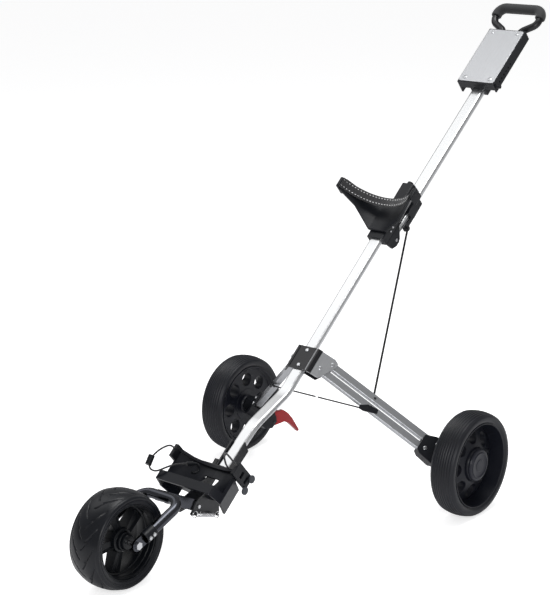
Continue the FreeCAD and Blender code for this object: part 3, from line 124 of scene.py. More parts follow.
class Finish:
    """One material: its Principled shader and the nodes that vary it."""

    def __init__(self, name, colour, roughness, metallic=0.0, **more):
        self.material = bpy.data.materials.new(name)
        self.material.use_nodes = True
        self.tree = self.material.node_tree
        self.shader = self.tree.nodes["Principled BSDF"]
        self.set("Base Color", (*colour, 1.0))
        self.set("Roughness", roughness)
        self.set("Metallic", metallic)
        for title, value in more.items():
            self.set(title.replace("_", " "), value)

    def set(self, title, value):
        """A plain value, or a link where the value varies."""
        socket = self.shader.inputs[title]
        if isinstance(value, Value):
            self.tree.links.new(value.socket, socket)
        else:
            socket.default_value = value

    def node(self, kind, settings=None, inputs=None, output=0):
        node = self.tree.nodes.new(kind)
        for title, value in (settings or {}).items():
            if title == "stops":
                ramp = node.color_ramp
                while len(ramp.elements) < len(value):
                    ramp.elements.new(1.0)
                for element, (place, colour) in zip(ramp.elements, value):
                    element.position = place
                    element.color = (*colour, 1.0)
            else:
                setattr(node, title, value)
        for title, value in (inputs or {}).items():
            if isinstance(value, Value):
                self.tree.links.new(value.socket, node.inputs[title])
            else:
                node.inputs[title].default_value = value
        return Value(self, node.outputs[output])

    def place(self, scale=(1.0, 1.0, 1.0), turn=(0.0, 0.0, 0.0), source="Object"):
        """Texture space in metres, scaled and turned for a pattern."""
        spot = self.node("ShaderNodeTexCoord", output=source)
        return self.node("ShaderNodeMapping", None,
                         {"Vector": spot, "Rotation": turn, "Scale": scale})

    def noise(self, scale, detail=2.0, where=None, roughness=0.5):
        return self.node("ShaderNodeTexNoise", None,
                         {"Vector": where or self.place(), "Scale": scale, "Detail": detail,
                          "Roughness": roughness})

    def ramp(self, factor, *stops):
        return self.node("ShaderNodeValToRGB", {"stops": stops}, {"Fac": factor})

    def spread(self, factor, low, high):
        """A 0 to 1 value brought into a range."""
        return self.node("ShaderNodeMapRange", None, {"Value": factor, "To Min": low, "To Max": high})

    def bump(self, height, depth, strength=1.0):
        self.set("Normal", self.node("ShaderNodeBump", None,
                                     {"Height": height, "Distance": depth, "Strength": strength}))


def shade(colour, factor):
    return tuple(part * factor for part in colour)


def tinted(finish, colour, factor, dark=0.8, light=1.2):
    """Slight colour change over a surface, by a noise or mask."""
    finish.set("Base Color", finish.ramp(factor, (0.3, shade(colour, dark)), (0.7, shade(colour, light))))


def metal(name, colour, roughness, streaks=(60.0, 60.0, 60.0), spread=0.08, turn=(0.0, 0.0, 0.0)):
    """Metal whose fine drawing or brushing lines run where the streak scale is low."""
    finish = Finish(name, colour, roughness, 1.0)
    lines = finish.noise(1.0, 4.0, finish.place(streaks, turn), 0.65)
    finish.set("Roughness", finish.spread(lines, roughness - spread, roughness + spread))
    tinted(finish, colour, lines, 0.93, 1.05)
    finish.bump(lines, 0.00004, 0.5)
    return finish.material


def moulded(name, colour, roughness, grain=900.0, depth=0.00006, coat=0.0):
    """Moulded plastic with a fine eroded grain and slow mottling."""
    finish = Finish(name, colour, roughness, Coat_Weight=coat, Coat_Roughness=0.25,
                    Specular_IOR_Level=0.28)
    fine = finish.noise(grain, 2.0)
    broad = finish.noise(14.0, 3.0)
    tinted(finish, colour, broad, 0.86, 1.14)
    finish.set("Roughness", finish.spread(fine, roughness - 0.07, roughness + 0.09))
    finish.bump(fine, depth, 0.6)
    return finish.material


def rubber(name, colour, roughness):
    """Moulded tyre with a soft satin face and a slow, dust-like mottling of its tone."""
    finish = Finish(name, colour, roughness, Coat_Weight=0.1, Coat_Roughness=0.35,
                    Specular_IOR_Level=0.28)
    fine = finish.noise(1400.0, 3.0)
    broad = finish.noise(22.0, 4.0)
    tinted(finish, colour, broad, 0.82, 1.2)
    finish.set("Roughness", finish.spread(broad, roughness - 0.06, roughness + 0.1))
    finish.bump(fine, 0.00005, 0.5)
    return finish.material


def webbing(name, colour):
    """Woven strap: ribs across its width, on the strap's own UV in metres."""
    finish = Finish(name, colour, 0.82, Sheen_Weight=0.35, Sheen_Roughness=0.4)
    spot = finish.node("ShaderNodeUVMap")
    ribs = finish.node("ShaderNodeTexWave", {"wave_type": "BANDS", "bands_direction": "X"},
                       {"Vector": spot, "Scale": 260.0, "Distortion": 0.3})
    threads = finish.node("ShaderNodeTexWave", {"wave_type": "BANDS", "bands_direction": "Y"},
                          {"Vector": spot, "Scale": 420.0, "Distortion": 0.2})
    weave = ribs * 0.6 + threads * 0.4
    tinted(finish, colour, weave, 0.55, 1.5)
    finish.bump(weave, 0.0004, 0.8)
    return finish.material


def braid(name, colour, fleck):
    """Braided cover of an elastic cord."""
    finish = Finish(name, colour, 0.75, Sheen_Weight=0.3, Sheen_Roughness=0.5)
    left = finish.node("ShaderNodeTexWave", {"bands_direction": "DIAGONAL"},
                       {"Vector": finish.place((1.0, 1.0, 1.0)), "Scale": 420.0})
    right = finish.node("ShaderNodeTexWave", {"bands_direction": "DIAGONAL"},
                        {"Vector": finish.place((-1.0, 1.0, 1.0)), "Scale": 420.0})
    cover = left * right
    finish.set("Base Color", finish.ramp(cover, (0.2, colour), (0.8, fleck)))
    finish.bump(cover, 0.0003, 0.7)
    return finish.material


def foam(name, colour):
    """Closed-cell grip foam."""
    finish = Finish(name, colour, 0.7, Sheen_Weight=0.2, Sheen_Roughness=0.6)
    cells = finish.node("ShaderNodeTexVoronoi", None, {"Vector": finish.place(), "Scale": 900.0})
    tinted(finish, colour, finish.noise(60.0, 4.0), 0.75, 1.3)
    finish.bump(cells, 0.0003, 0.5)
    return finish.material


ALONG_TUBE = (900.0, 25.0, 900.0)
FINISHES = {
    "frame_tube": metal("anodised_tube", (0.80, 0.81, 0.82), 0.30, ALONG_TUBE, 0.06,
                        (-TUBE_ANGLE, 0.0, 0.0)),
    "leg_tube": metal("anodised_leg", (0.50, 0.51, 0.53), 0.32, (300.0, 300.0, 300.0), 0.06),
    "silver_plate": metal("brushed_plate", (0.58, 0.59, 0.61), 0.34, (1200.0, 25.0, 25.0), 0.1),
    "black_plate": moulded("black_lacquer", (0.008, 0.008, 0.010), 0.30, 700.0, 0.00003, 0.3),
    "black_plastic": moulded("black_nylon", (0.009, 0.010, 0.013), 0.36),
    "grey_plastic": moulded("grey_nylon", (0.050, 0.054, 0.062), 0.42),
    "tray_plastic": moulded("tray_moulding", (0.006, 0.007, 0.011), 0.30, 800.0),
    "red_lever": moulded("red_lever_plastic", (0.36, 0.006, 0.010), 0.30, 1200.0, 0.00003, 0.4),
    "steel": metal("zinc_steel", (0.66, 0.67, 0.69), 0.28, (200.0, 200.0, 200.0)),
    "cheek_steel": moulded("lacquered_cheek", (0.014, 0.015, 0.018), 0.30, 500.0, 0.00003, 0.3),
    "fork_steel": metal("gunmetal_tube", (0.075, 0.078, 0.090), 0.22, (120.0, 120.0, 120.0), 0.05),
    "rod_black": moulded("black_rod", (0.008, 0.008, 0.010), 0.30, 600.0, 0.00002, 0.3),
    "spring_steel": metal("bright_wire", (0.82, 0.82, 0.84), 0.16, (150.0, 150.0, 150.0), 0.05),
    "tyre": rubber("tyre_rubber", (0.008, 0.009, 0.013), 0.38),
    "wheel_plastic": moulded("wheel_moulding", (0.007, 0.008, 0.013), 0.36, 700.0),
    "hub_plastic": moulded("hub_cap_moulding", (0.013, 0.014, 0.022), 0.34, 700.0),
    "webbing": webbing("strap_webbing", (0.022, 0.022, 0.024)),
    "elastic_cord": braid("elastic_braid", (0.015, 0.015, 0.017), (0.06, 0.06, 0.065)),
    "cable_cover": moulded("cable_cover", (0.02, 0.02, 0.022), 0.4, 900.0),
    "handle_tube": moulded("handle_tube_lacquer", (0.009, 0.009, 0.011), 0.28, 500.0, 0.00002, 0.3),
    "grip_foam": foam("grip_foam", (0.010, 0.010, 0.012)),
}
FRONT_RUBBER = rubber("front_tyre_rubber", (0.005, 0.006, 0.009), 0.32)
FRONT_MOULDING = moulded("front_wheel_moulding", (0.004, 0.005, 0.007), 0.34, 700.0)
STITCH = Finish("strap_thread", (0.75, 0.75, 0.76), 0.7, Sheen_Weight=0.3).material


# ------------------------------------------------------------------ making pieces
def ship(name, mesh, body, slot, replaced=(), material=None, sharp=35.0, bevel=0.0):
    """Shade a mesh, link it, and hang it on its body of the frame."""
    mesh.materials.clear()
    mesh.materials.append(material or FINISHES[slot])
    mesh.shade_smooth()
    mesh.set_sharp_from_angle(angle=math.radians(sharp))
    piece = bpy.data.objects.new(name, mesh)
    bpy.context.scene.collection.objects.link(piece)
    if bevel:
        edge = piece.modifiers.new("soft_edges", "BEVEL")
        edge.width = bevel * MM
        edge.segments = 2
        edge.limit_method = "ANGLE"
        edge.angle_limit = math.radians(sharp)
        edge.harden_normals = True
    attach(piece, body)
    if replaced:
        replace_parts(piece, *replaced)
    return piece


def to_mesh(bm, name, place=Matrix()):
    bm.transform(place)
    bm.normal_update()
    mesh = bpy.data.meshes.new(name)
    bm.to_mesh(mesh)
    bm.free()
    return mesh


def outward(bm):
    bmesh.ops.remove_doubles(bm, verts=bm.verts, dist=0.001)
    bmesh.ops.recalc_face_normals(bm, faces=bm.faces)
    return bm


def spun(points, steps, closed=True):
    """Full turn about X of (x, radius) points in millimetres."""
    bm = bmesh.new()
    verts = [bm.verts.new((x, 0, radius)) for x, radius in points]
    ends = verts[1:] + (verts[:1] if closed else [])
    edges = [bm.edges.new(pair) for pair in zip(verts, ends)]
    bmesh.ops.spin(bm, geom=verts + edges, cent=(0, 0, 0), axis=(1, 0, 0), angle=2 * math.pi,
                   steps=steps, use_merge=True, use_duplicate=False)
    return outward(bm)


def arc(centre, radius, start, end, count):
    """Points on part of a circle, angles in degrees."""
    turns = [math.radians(start + (end - start) * i / count) for i in range(count + 1)]
    return [(centre[0] + radius * math.cos(a), centre[1] + radius * math.sin(a)) for a in turns]


def merged(*parts):
    """Several bmeshes as one."""
    whole = bmesh.new()
    for part in parts:
        spare = bpy.data.meshes.new("spare")
        part.to_mesh(spare)
        part.free()
        whole.from_mesh(spare)
        bpy.data.meshes.remove(spare)
    return whole


def softened(node, bevel, name=None, material=None):
    """A CAD node with its flat faces joined and its edges rounded."""
    bm = bmesh.new()
    bm.from_mesh(frame["nodes"][node].data)
    bmesh.ops.remove_doubles(bm, verts=bm.verts, dist=0.00001)
    bmesh.ops.dissolve_limit(bm, angle_limit=math.radians(0.8), verts=bm.verts, edges=bm.edges)
    body = frame["nodes"][node]["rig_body"]
    title = name or "soft_" + node
    return ship(title, to_mesh(bm, title), body, SLOT_OF[node], [node], material, 32.0, bevel)


def wheel_place(side):
    turn = Matrix() if side > 0 else HALF_TURN
    return Matrix.Translation(REAR_HUBS[side]) @ turn @ SHRINK


# ------------------------------------------------------------------ camera, cords
VIEW_AZIMUTH, VIEW_ELEVATION, VIEW_ROLL = map(math.radians, (40.066, 15.168, -0.50))
VIEW_DISTANCE = 4.131
VIEW_RIGHT, VIEW_UP = -0.1737, 0.4335      # what the camera looks at, from under the rear axle
LENS = 104.85


def make_camera():
    back = Vector((math.sin(VIEW_AZIMUTH) * math.cos(VIEW_ELEVATION),
                   -math.cos(VIEW_AZIMUTH) * math.cos(VIEW_ELEVATION), math.sin(VIEW_ELEVATION)))
    right = Vector((math.cos(VIEW_AZIMUTH), math.sin(VIEW_AZIMUTH), 0))
    up = back.cross(right)
    target = Vector((0, REAR_HUBS[1].y, 0)) + right * VIEW_RIGHT + up * VIEW_UP
    axes = Matrix((right, up, back)).transposed().to_4x4()
    camera = bpy.data.objects.new("camera", bpy.data.cameras.new("camera"))
    camera.data.lens = LENS
    camera.matrix_world = (Matrix.Translation(target + back * VIEW_DISTANCE) @ axes
                           @ Matrix.Rotation(VIEW_ROLL, 4, "Z"))
    bpy.context.scene.collection.objects.link(camera)
    bpy.context.scene.camera = camera


CORD_DIAMETER = 4.0
CORD_LEFT = [(88.5, -254, 118), (88.5, -254, 134), (75, -247, 143), (57, -241, 135),
             (42, -238, 116), (31, -239, 94), (28, -243, 76), (27, -243, 60)]
CORD_RIGHT = [(-88.5, -256, 118), (-88.5, -256, 133), (-92, -274, 147), (-97, -294, 153),
              (-100, -313, 152), (-94, -330, 147), (-76, -331, 143), (-62, -315, 140),
              (-51, -294, 129), (-41, -279, 110)]


def cord_curve(name, points):
    """A smooth line through the frame, with the cord's own thickness."""
    curve = bpy.data.curves.new(name, "CURVE")
    curve.dimensions = "3D"
    curve.bevel_depth = CORD_DIAMETER / 2 * MM
    curve.bevel_resolution = 4
    curve.resolution_u = 10
    curve.use_fill_caps = True
    spline = curve.splines.new("NURBS")
    spline.points.add(len(points) - 1)
    for spot, point in zip(spline.points, points):
        spot.co = (*(TUBE @ Vector(point)), 1.0)
    spline.order_u = 3
    spline.use_endpoint_u = True
    curve.materials.append(FINISHES["elastic_cord"])
    cord = bpy.data.objects.new(name, curve)
    bpy.context.scene.collection.objects.link(cord)
    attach(cord, "frame")
    return cord


def make_cords():
    fittings = softened("bungee_ends", 0.8, "cord_toggle_and_hook")
    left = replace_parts(cord_curve("elastic_cord_left", CORD_LEFT), "bungee_left")
    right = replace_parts(cord_curve("elastic_cord_right", CORD_RIGHT), "bungee_right")


# ------------------------------------------------------------------ rear wheels
REAR_RADIUS = 120.0
RIB_PITCH, RIB_DEPTH = 6.0, 1.5
TREAD_HALF = 27.0
CROWN_DROP = 4.4
DISC_IN, DISC_OUT, DISC_BACK = 36.0, 90.0, -20.0
HOLE_RING, HOLE_RADIUS, HOLES = 64.0, 16.5, 8


def ribbed_tread():
    """Outer line of a rear tyre: a crown with fine ribs all round it."""
    count = int(2 * TREAD_HALF / RIB_PITCH * 8)
    line = []
    for step in range(count + 1):
        x = -TREAD_HALF + 2 * TREAD_HALF * step / count
        crown = REAR_RADIUS - CROWN_DROP * (x / TREAD_HALF) ** 2
        rib = RIB_DEPTH * (1 + math.cos(2 * math.pi * x / RIB_PITCH)) / 2
        line.append((x, crown - RIB_DEPTH + rib))
    return line


def make_rear_tyre(side, name):
    shoulder = [(29.2, 113.0), (30.4, 110.0), (30.5, 105.0), (29.8, 101.6), (28.2, 99.6), (27.0, 97.2)]
    outline = ribbed_tread() + shoulder + [(-x, r) for x, r in reversed(shoulder)]
    tyre = to_mesh(spun(outline, 128), "ribbed_tyre_" + name, wheel_place(side))
    ship("ribbed_tyre_" + name, tyre, "rear_wheel_" + name, "tyre", ["rear_tyre_" + name], sharp=50)


def dish_front(radius):
    """The disc's outer face rises from its rim to the hub."""
    share = min(max((DISC_OUT - radius) / (DISC_OUT - DISC_IN), 0.0), 1.0)
    return -8.0 + 22.0 * share ** 0.9


def holed_disc():
    """Disc with a ring of round holes, one sector at a time, then thickened."""
    bm = bmesh.new()
    quarter = Matrix.Rotation(math.pi / 2, 4, "Y")
    ring = bmesh.ops.create_circle(bm, segments=24, radius=HOLE_RADIUS,
                                   matrix=Matrix.Translation((0, 0, HOLE_RING)) @ quarter)["verts"]
    rims = list({edge for vert in ring for edge in vert.link_edges})
    grown = bmesh.ops.extrude_edge_only(bm, edges=rims)["geom"]
    slope = math.tan(math.pi / HOLES)          # a sector's wall is the line |y| = slope z
    for vert in (item for item in grown if isinstance(item, bmesh.types.BMVert)):
        out = Vector((vert.co.y, vert.co.z - HOLE_RING)).normalized()
        spans = []
        for wall in (-1, 1):
            rate = wall * out.x - slope * out.y
            if rate > 1e-6:
                spans.append(slope * HOLE_RING / rate)
        if out.y > 1e-6:
            spans.append((DISC_OUT - HOLE_RING) / out.y)
        if out.y < -1e-6:
            spans.append((DISC_IN - HOLE_RING) / out.y)
        span = min(spans)
        spot = Vector((out.x * span, HOLE_RING + out.y * span))
        angle = math.atan2(spot.x, spot.y)
        radius = min(max(spot.length, DISC_IN), DISC_OUT)
        if abs(spot.y - DISC_OUT) < 0.01:
            radius = DISC_OUT
        if abs(spot.y - DISC_IN) < 0.01:
            radius = DISC_IN
        vert.co.y, vert.co.z = radius * math.sin(angle), radius * math.cos(angle)
    bmesh.ops.spin(bm, geom=bm.verts[:] + bm.edges[:] + bm.faces[:], cent=(0, 0, 0),
                   axis=(1, 0, 0), angle=2 * math.pi * (HOLES - 1) / HOLES, steps=HOLES - 1,
                   use_duplicate=True)
    bmesh.ops.remove_doubles(bm, verts=bm.verts, dist=0.2)
    for vert in bm.verts:
        vert.co.x = dish_front(Vector((vert.co.y, vert.co.z)).length)
    back = bmesh.ops.extrude_face_region(bm, geom=bm.faces[:])["geom"]
    for vert in (item for item in back if isinstance(item, bmesh.types.BMVert)):
        vert.co.x = DISC_BACK
    bmesh.ops.recalc_face_normals(bm, faces=bm.faces)
    return bm


def make_rear_wheel(side, name):
    barrel = spun([(-28.5, 96.8), (28.2, 96.8), (29.0, 95.6), (28.4, 94.0), (12.0, 90.6), (2.0, 88.4),
                   (-9.5, 86.4), (-21.0, 86.4), (-24.0, 90.5), (-28.5, 93.5)], 96)
    hub = spun([(-25.0, 5.6), (-25.0, 21.0), (-21.0, 24.0), (-21.0, 40.0), (12.5, 40.0), (15.0, 39.4),
                (18.5, 38.6), (20.0, 37.0), (20.0, 11.2), (14.0, 11.2), (14.0, 5.6)], 64)
    whole = merged(holed_disc(), barrel, hub)
    title = "dished_wheel_" + name
    mesh = to_mesh(whole, title, wheel_place(side))
    ship(title, mesh, "rear_wheel_" + name, "wheel_plastic", ["rear_wheel_" + name], bevel=0.9)


def make_hub_cap(side, name):
    face = [(27.0, 0), (27.0, 13.0), (26.2, 14.0), (26.0, 25.0), (26.6, 26.2), (27.6, 27.0),
            (27.6, 28.6), (26.6, 29.6), (25.6, 30.4), (25.4, 33.0), (24.6, 35.0), (22.6, 36.4),
            (20.4, 36.6), (20.4, 12.0), (22.5, 0)]
    title = "ringed_hub_cap_" + name
    cap = to_mesh(spun(face, 64, closed=False), title, wheel_place(side))
    ship(title, cap, "rear_wheel_" + name, "hub_plastic", ["hub_cap_" + name], sharp=28)


# ------------------------------------------------------------------ front wheel
FRONT_RADIUS = 104.5
GROOVES = 15
GROOVE_DEPTH = 2.2
SPOKES, SPOKE_TURN = 5, 0.28                # spokes, and where the first stands, as a share of a pitch
PANEL_MARGIN, PANEL_DEPTH = 3.6, 6.0


def groove_at(x, turn):
    """How deep the swept tread grooves are at a place on the front tyre, 0 to 1."""
    share = abs(x) / 33.0
    if share > 1.0:
        return 0.0
    pitch = 2 * math.pi / GROOVES
    stagger = pitch / 2 if x > 0 else 0.0
    deepest = 0.0
    for start, end, sweep, lag in ((0.02, 0.62, 0.30, 0.0), (0.30, 0.97, 0.34, 0.42)):
        if not start < share < end:
            continue
        along = (share - start) / (end - start)
        centre = stagger + pitch * lag + sweep * along ** 1.6
        away = (turn - centre + pitch / 2) % pitch - pitch / 2
        half_width = 0.022 * math.sin(math.pi * along) ** 0.6 + 0.004
        deepest = max(deepest, max(0.0, 1 - (away / half_width) ** 2))
    return deepest


def make_front_tyre():
    crown = []
    for step in range(57):
        x = -35.0 + 70.0 * step / 56
        crown.append((x, FRONT_RADIUS - 7.0 * abs(x / 35.0) ** 2.4))
    shoulder = arc((35.5, 91.5), 6.0, 84, 8, 6)
    band = [(41.4, 90.8), (40.4, 89.8), (40.9, 88.6), (41.4, 87.6), (40.2, 86.4), (39.6, 84.4),
            (38.6, 82.0), (37.6, 80.2)]
    side = shoulder + band
    bm = spun(crown + side + [(-x, r) for x, r in reversed(side)], 360)
    for vert in bm.verts:
        radius = math.hypot(vert.co.y, vert.co.z)
        if radius > 96.0:
            depth = GROOVE_DEPTH * groove_at(vert.co.x, math.atan2(vert.co.y, vert.co.z))
            vert.co.y *= (radius - depth) / radius
            vert.co.z *= (radius - depth) / radius
    place = Matrix.Translation(FRONT_HUB) @ SHRINK
    mesh = to_mesh(bm, "swept_tread_tyre", place)
    ship("swept_tread_tyre", mesh, "front_wheel", "tyre", ["front_tyre"], FRONT_RUBBER, 50)


def spoke():
    """A tapered bar from hub to rim with a sunk panel in each flank."""
    bm = bmesh.new()
    bmesh.ops.create_cube(bm, size=1.0)
    for vert in bm.verts:
        out = vert.co.z > 0
        vert.co.x *= 20.0 if out else 30.0
        vert.co.y *= 27.0 if out else 17.0
        vert.co.z = 72.5 if out else 18.0
    flanks = [face for face in bm.faces if abs(face.normal.x) > 0.9]
    bmesh.ops.inset_individual(bm, faces=flanks, thickness=PANEL_MARGIN, use_even_offset=True)
    for face in flanks:
        bmesh.ops.translate(bm, verts=face.verts, vec=face.normal * -PANEL_DEPTH)
    return bm


def make_front_wheel():
    half = [(37.4, 80.0), (38.0, 79.0), (37.4, 77.6), (34.0, 76.6), (33.2, 75.4), (24.0, 74.6),
            (23.2, 73.4), (12.0, 72.8), (11.0, 70.0), (6.0, 68.8)]
    barrel = spun(half + [(-x, r) for x, r in reversed(half)], 96)
    hub_half = [(33.4, 5.6), (33.4, 15.0), (30.5, 16.8), (25.0, 16.8), (24.0, 19.4), (17.0, 20.4),
                (15.8, 25.0), (11.0, 26.6)]
    hub = spun(hub_half + [(-x, r) for x, r in reversed(hub_half)], 64)
    spokes = []
    for index in range(SPOKES):
        bar = spoke()
        bar.transform(Matrix.Rotation(2 * math.pi * (index + SPOKE_TURN) / SPOKES, 4, "X"))
        spokes.append(bar)
    place = Matrix.Translation(FRONT_HUB) @ SHRINK
    mesh = to_mesh(merged(barrel, hub, *spokes), "five_spoke_wheel", place)
    ship("five_spoke_wheel", mesh, "front_wheel", "wheel_plastic", ["front_wheel"], FRONT_MOULDING,
         bevel=1.0)


# ------------------------------------------------------------------ fork ends
FORK_ARM_X, SOCKET_RADIUS, SOCKET_NEAR, SOCKET_FAR = 56.0, 13.4, 22.0, 52.0
SOCKET_BOLTS = (29.0, 41.0)


def make_fork_sockets():
    """Black sleeve round each fork arm where it meets its axle tab."""
    arm_middle = middle("fork_bolts")
    slope = Vector((0, arm_middle.y - FRONT_HUB.y, arm_middle.z - FRONT_HUB.z)).normalized()
    line = [(SOCKET_NEAR, 11.2), (SOCKET_NEAR, SOCKET_RADIUS - 1.2), (SOCKET_NEAR + 1.2, SOCKET_RADIUS),
            (SOCKET_FAR - 1.2, SOCKET_RADIUS), (SOCKET_FAR, SOCKET_RADIUS - 1.2), (SOCKET_FAR, 11.2)]
    turn = Vector((1, 0, 0)).rotation_difference(slope).to_matrix().to_4x4()
    sleeves = []
    for side in (1, -1):
        sleeve = spun(line, 40)
        sleeve.transform(Matrix.Translation((side * FORK_ARM_X, 0, 0)) @ turn)
        sleeves.append(sleeve)
    mesh = to_mesh(merged(*sleeves), "fork_sockets", Matrix.Translation(FRONT_HUB) @ SHRINK)
    ship("fork_sockets", mesh, "fork", "black_plastic")
    heads = []
    for side in (1, -1):
        for along in SOCKET_BOLTS:
            head = spun([(-3.0, 0), (-3.0, 2.2), (0, 2.2), (0, 4.4), (1.6, 4.2), (2.6, 2.8), (2.6, 0)], 24,
                        closed=False)
            head.transform(Matrix.Diagonal((side, 1, 1, 1)))
            spot = slope * along + Vector((side * (FORK_ARM_X + SOCKET_RADIUS - 0.5), 0, 0))
            head.transform(Matrix.Translation(spot))
            heads.append(outward(head))
    bolts = to_mesh(merged(*heads), "socket_bolts", Matrix.Translation(FRONT_HUB) @ SHRINK)
    ship("socket_bolts", bolts, "fork", SLOT_OF["fork_bolts"], ["fork_bolts"])


# ------------------------------------------------------------------ bag rests
STRAP_LOW, STRAP_WIDTH, STRAP_T = 509.0, 26.0, 2.0
STRAP_END, STRAP_DIP = Vector((100.0, 100.0)), 44.0
STRAP_STEPS = 60
STITCHES, STITCH_LONG, STITCH_WIDE = 30, 5.0, 2.2
STITCH_ROWS = (0.2, 0.8)                   # shares of the strap's width


def strap_spot(share):
    """Middle of the strap across the cart, 0 at the right wing and 1 at the left."""
    chord, dip = STRAP_END.x, STRAP_END.y - STRAP_DIP
    radius = (chord ** 2 + dip ** 2) / (2 * dip)
    half_angle = math.asin(chord / radius)
    angle = half_angle * (2 * share - 1)
    rise = STRAP_DIP + radius * (1 - math.cos(angle))
    return radius * math.sin(angle), rise, angle, radius * half_angle * 2


def make_strap():
    bm = bmesh.new()
    uv = bm.loops.layers.uv.new("UVMap")
    rows = []
    for step in range(STRAP_STEPS + 1):
        x, n = strap_spot(step / STRAP_STEPS)[:2]
        rows.append([bm.verts.new((x, STRAP_LOW + STRAP_WIDTH * across, n + STRAP_T / 2))
                     for across in (0.0, 0.08, 0.5, 0.92, 1.0)])
    for near, far in zip(rows, rows[1:]):
        for slot in range(4):
            face = bm.faces.new((near[slot], far[slot], far[slot + 1], near[slot + 1]))
            for loop in face.loops:
                loop[uv].uv = ((loop.vert.co.x + STRAP_END.x) * MM, loop.vert.co.y * MM)
    mesh = to_mesh(bm, "woven_strap", TUBE)
    strap = ship("woven_strap", mesh, "frame", "webbing", ["cradle_strap"])
    wall = strap.modifiers.new("thickness", "SOLIDIFY")
    wall.thickness = STRAP_T * MM
    wall.offset = 0.0
    strap_spot(0)[3] * MM


def make_stitches():
    """Two rows of thread dashes along the strap's edges."""
    whole = bmesh.new()
    for row in STITCH_ROWS:
        for index in range(STITCHES):
            x, n, angle = strap_spot((index + 0.5) / STITCHES)[:3]
            dash = Matrix.Translation((x, STRAP_LOW + STRAP_WIDTH * row, n + STRAP_T + 0.1))
            dash = dash @ Matrix.Rotation(-angle, 4, "Y") @ Matrix.Diagonal((STITCH_LONG, STITCH_WIDE, 1.2, 1.0))
            bmesh.ops.create_icosphere(whole, subdivisions=1, radius=0.5, matrix=dash)
    mesh = to_mesh(whole, "strap_stitching", TUBE)
    ship("strap_stitching", mesh, "frame", "webbing", material=STITCH)


def make_rests():
    make_strap()
    make_stitches()
    softened("cradle", 2.2, "upper_rest")
    softened("strap_anchors", 1.5)
    softened("tray", 1.6, "lower_rest")
    softened("cord_holders", 1.2)
    softened("cord_tabs", 1.6)


# ------------------------------------------------------------------ latch spring
SPRING_TOP, SPRING_FOOT = Vector((27, -372, 79)), Vector((27, -334, 18))
WIRE_RADIUS, COIL_RADIUS, COILS = 0.9, 4.1, 15
HOOK_RADIUS = 7.3


def make_spring():
    """Close-wound coil with a large open ring at each end."""
    span = SPRING_FOOT - SPRING_TOP
    along = span.normalized()
    side = Vector((1, 0, 0))
    across = along.cross(side)
    points = []
    for step in range(25):
        angle = 2 * math.pi * step / 24
        points.append(SPRING_TOP + HOOK_RADIUS * (math.cos(angle) * along + math.sin(angle) * across))
    start, length = HOOK_RADIUS + 1.0, span.length - 2 * HOOK_RADIUS - 2.0
    for step in range(COILS * 12 + 1):
        angle = 2 * math.pi * step / 12
        points.append(SPRING_TOP + along * (start + length * step / (COILS * 12))
                      + COIL_RADIUS * (math.cos(angle) * across + math.sin(angle) * side))
    for step in range(25):
        angle = math.pi + 2 * math.pi * step / 24
        points.append(SPRING_FOOT + HOOK_RADIUS * (math.cos(angle) * along + math.sin(angle) * across))
    curve = bpy.data.curves.new("spring_line", "CURVE")
    curve.dimensions = "3D"
    curve.bevel_depth = WIRE_RADIUS
    curve.bevel_resolution = 2
    curve.use_fill_caps = True
    spline = curve.splines.new("POLY")
    spline.points.add(len(points) - 1)
    for spot, point in zip(spline.points, points):
        spot.co = (*point, 1.0)
    line = bpy.data.objects.new("spring_line", curve)
    mesh = bpy.data.meshes.new_from_object(line)
    bpy.data.objects.remove(line)
    mesh.transform(TUBE)
    ship("wound_spring", mesh, "frame", "spring_steel", ["latch_spring"], sharp=60)


# ------------------------------------------------------------------ console details
CONSOLE_LOW, PLATE_TOP = 485.7, 31.0


def make_console_details():
    """Raised dimples at the plate's low corners and two round studs at its top edge."""
    whole = bmesh.new()
    for x in (-36.0, 36.0):
        for along, radius in ((12.0, 6.0), (166.0, 4.0)):
            spot = Matrix.Translation((x, CONSOLE_LOW + along, PLATE_TOP))
            spot = spot @ Matrix.Diagonal((1, 1, 0.3, 1))
            bmesh.ops.create_uvsphere(whole, u_segments=24, v_segments=12, radius=radius, matrix=spot)
    mesh = to_mesh(whole, "plate_studs", UPPER)
    ship("plate_studs", mesh, "handle", "silver_plate")


# ------------------------------------------------------------------ everything else from the frame
SOFT_NODES = {
    "hinge_clamp": 1.2, "hinge_block": 1.2, "tube_end": 1.2, "fold_latch": 0.8, "leg_bracket": 1.0,
    "leg_plate_front_left": 0.6, "leg_plate_front_right": 0.6, "leg_plates_rear": 0.6,
    "release_lever": 1.6, "lever_base": 1.2, "fork_latch": 1.0, "fork_cheeks": 0.6,
    "wheel_carrier_left": 1.6, "wheel_carrier_right": 1.6, "tray_bracket": 1.0,
    "console_frame": 1.6, "frame_screws": 0.3,
    "carrier_pins_left": 0.3, "carrier_pins_right": 0.3, "leg_pins": 0.3, "handle_grip": 2.0,
    "scorecard_plate": 0.5, "spreader_clip_left": 0.5, "spreader_clip_right": 0.5,
}


def dress_frame():
    for node, bevel in SOFT_NODES.items():
        softened(node, bevel)
    for name, item in frame["nodes"].items():
        if not item.hide_render:
            item.data.materials.clear()
            item.data.materials.append(FINISHES[SLOT_OF[name]])


# ------------------------------------------------------------------ floor and light
AMBIENT = 0.32


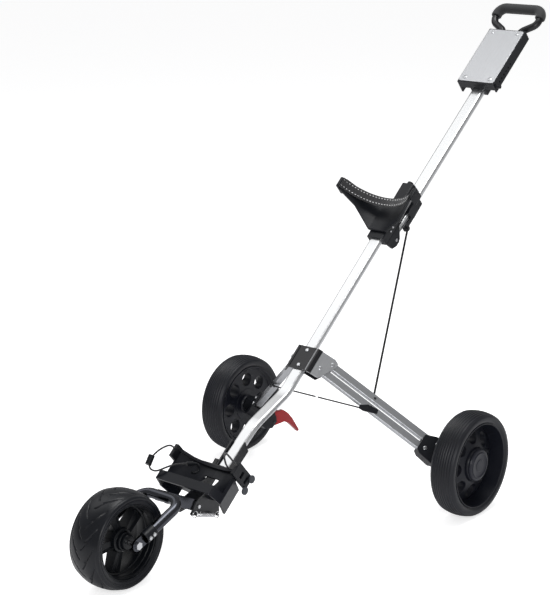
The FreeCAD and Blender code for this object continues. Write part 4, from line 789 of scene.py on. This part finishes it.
def make_studio():
    bm = bmesh.new()
    bmesh.ops.create_grid(bm, x_segments=1, y_segments=1, size=30.0)
    floor = bpy.data.objects.new("floor", to_mesh(bm, "floor"))
    paper = Finish("studio_paper", (0.93, 0.93, 0.94), 0.9)
    paper.set("Roughness", paper.spread(paper.noise(3.0), 0.85, 0.95))
    direct = paper.node("ShaderNodeLightPath")
    paper.set("Emission Color", paper.ramp(direct, (0.0, (0.12, 0.12, 0.13)), (1.0, (1.0, 1.0, 1.0))))
    paper.set("Emission Strength", 0.66)
    floor.data.materials.append(paper.material)
    bpy.context.scene.collection.objects.link(floor)
    world = bpy.data.worlds.new("studio")
    world.use_nodes = True
    nodes, links = world.node_tree.nodes, world.node_tree.links
    soft = nodes["Background"]
    soft.inputs["Color"].default_value = (1.0, 1.0, 1.0, 1.0)
    soft.inputs["Strength"].default_value = AMBIENT
    seen = nodes.new("ShaderNodeBackground")
    seen.inputs["Color"].default_value = (1.0, 1.0, 1.0, 1.0)
    seen.inputs["Strength"].default_value = 1.0
    path, blend = nodes.new("ShaderNodeLightPath"), nodes.new("ShaderNodeMixShader")
    links.new(path.outputs["Is Camera Ray"], blend.inputs["Fac"])
    links.new(soft.outputs[0], blend.inputs[1])
    links.new(seen.outputs[0], blend.inputs[2])
    links.new(blend.outputs[0], nodes["World Output"].inputs["Surface"])
    bpy.context.scene.world = world
    bpy.context.scene.view_settings.view_transform = "Standard"
    for name, spot, size, power in (("key", (-2.2, -0.4, 3.4), 2.6, 22.0),
                                    ("fill", (2.6, -2.8, 1.8), 1.4, 45.0),
                                    ("top", (0.3, 0.4, 4.0), 2.0, 70.0)):
        lamp = bpy.data.lights.new(name, "AREA")
        lamp.size = size
        lamp.energy = power
        light = bpy.data.objects.new(name, lamp)
        toward = Vector((0, 0, 0.4)) - Vector(spot)
        light.matrix_world = Matrix.Translation(spot) @ toward.to_track_quat("-Z", "Y").to_matrix().to_4x4()
        bpy.context.scene.collection.objects.link(light)


make_camera()
make_cords()
for side, name in SIDES:
    make_rear_tyre(side, name)
    make_rear_wheel(side, name)
    make_hub_cap(side, name)
make_front_tyre()
make_front_wheel()
make_fork_sockets()
make_rests()
make_spring()
make_console_details()
dress_frame()
make_studio()

bpy.context.view_layer.update()
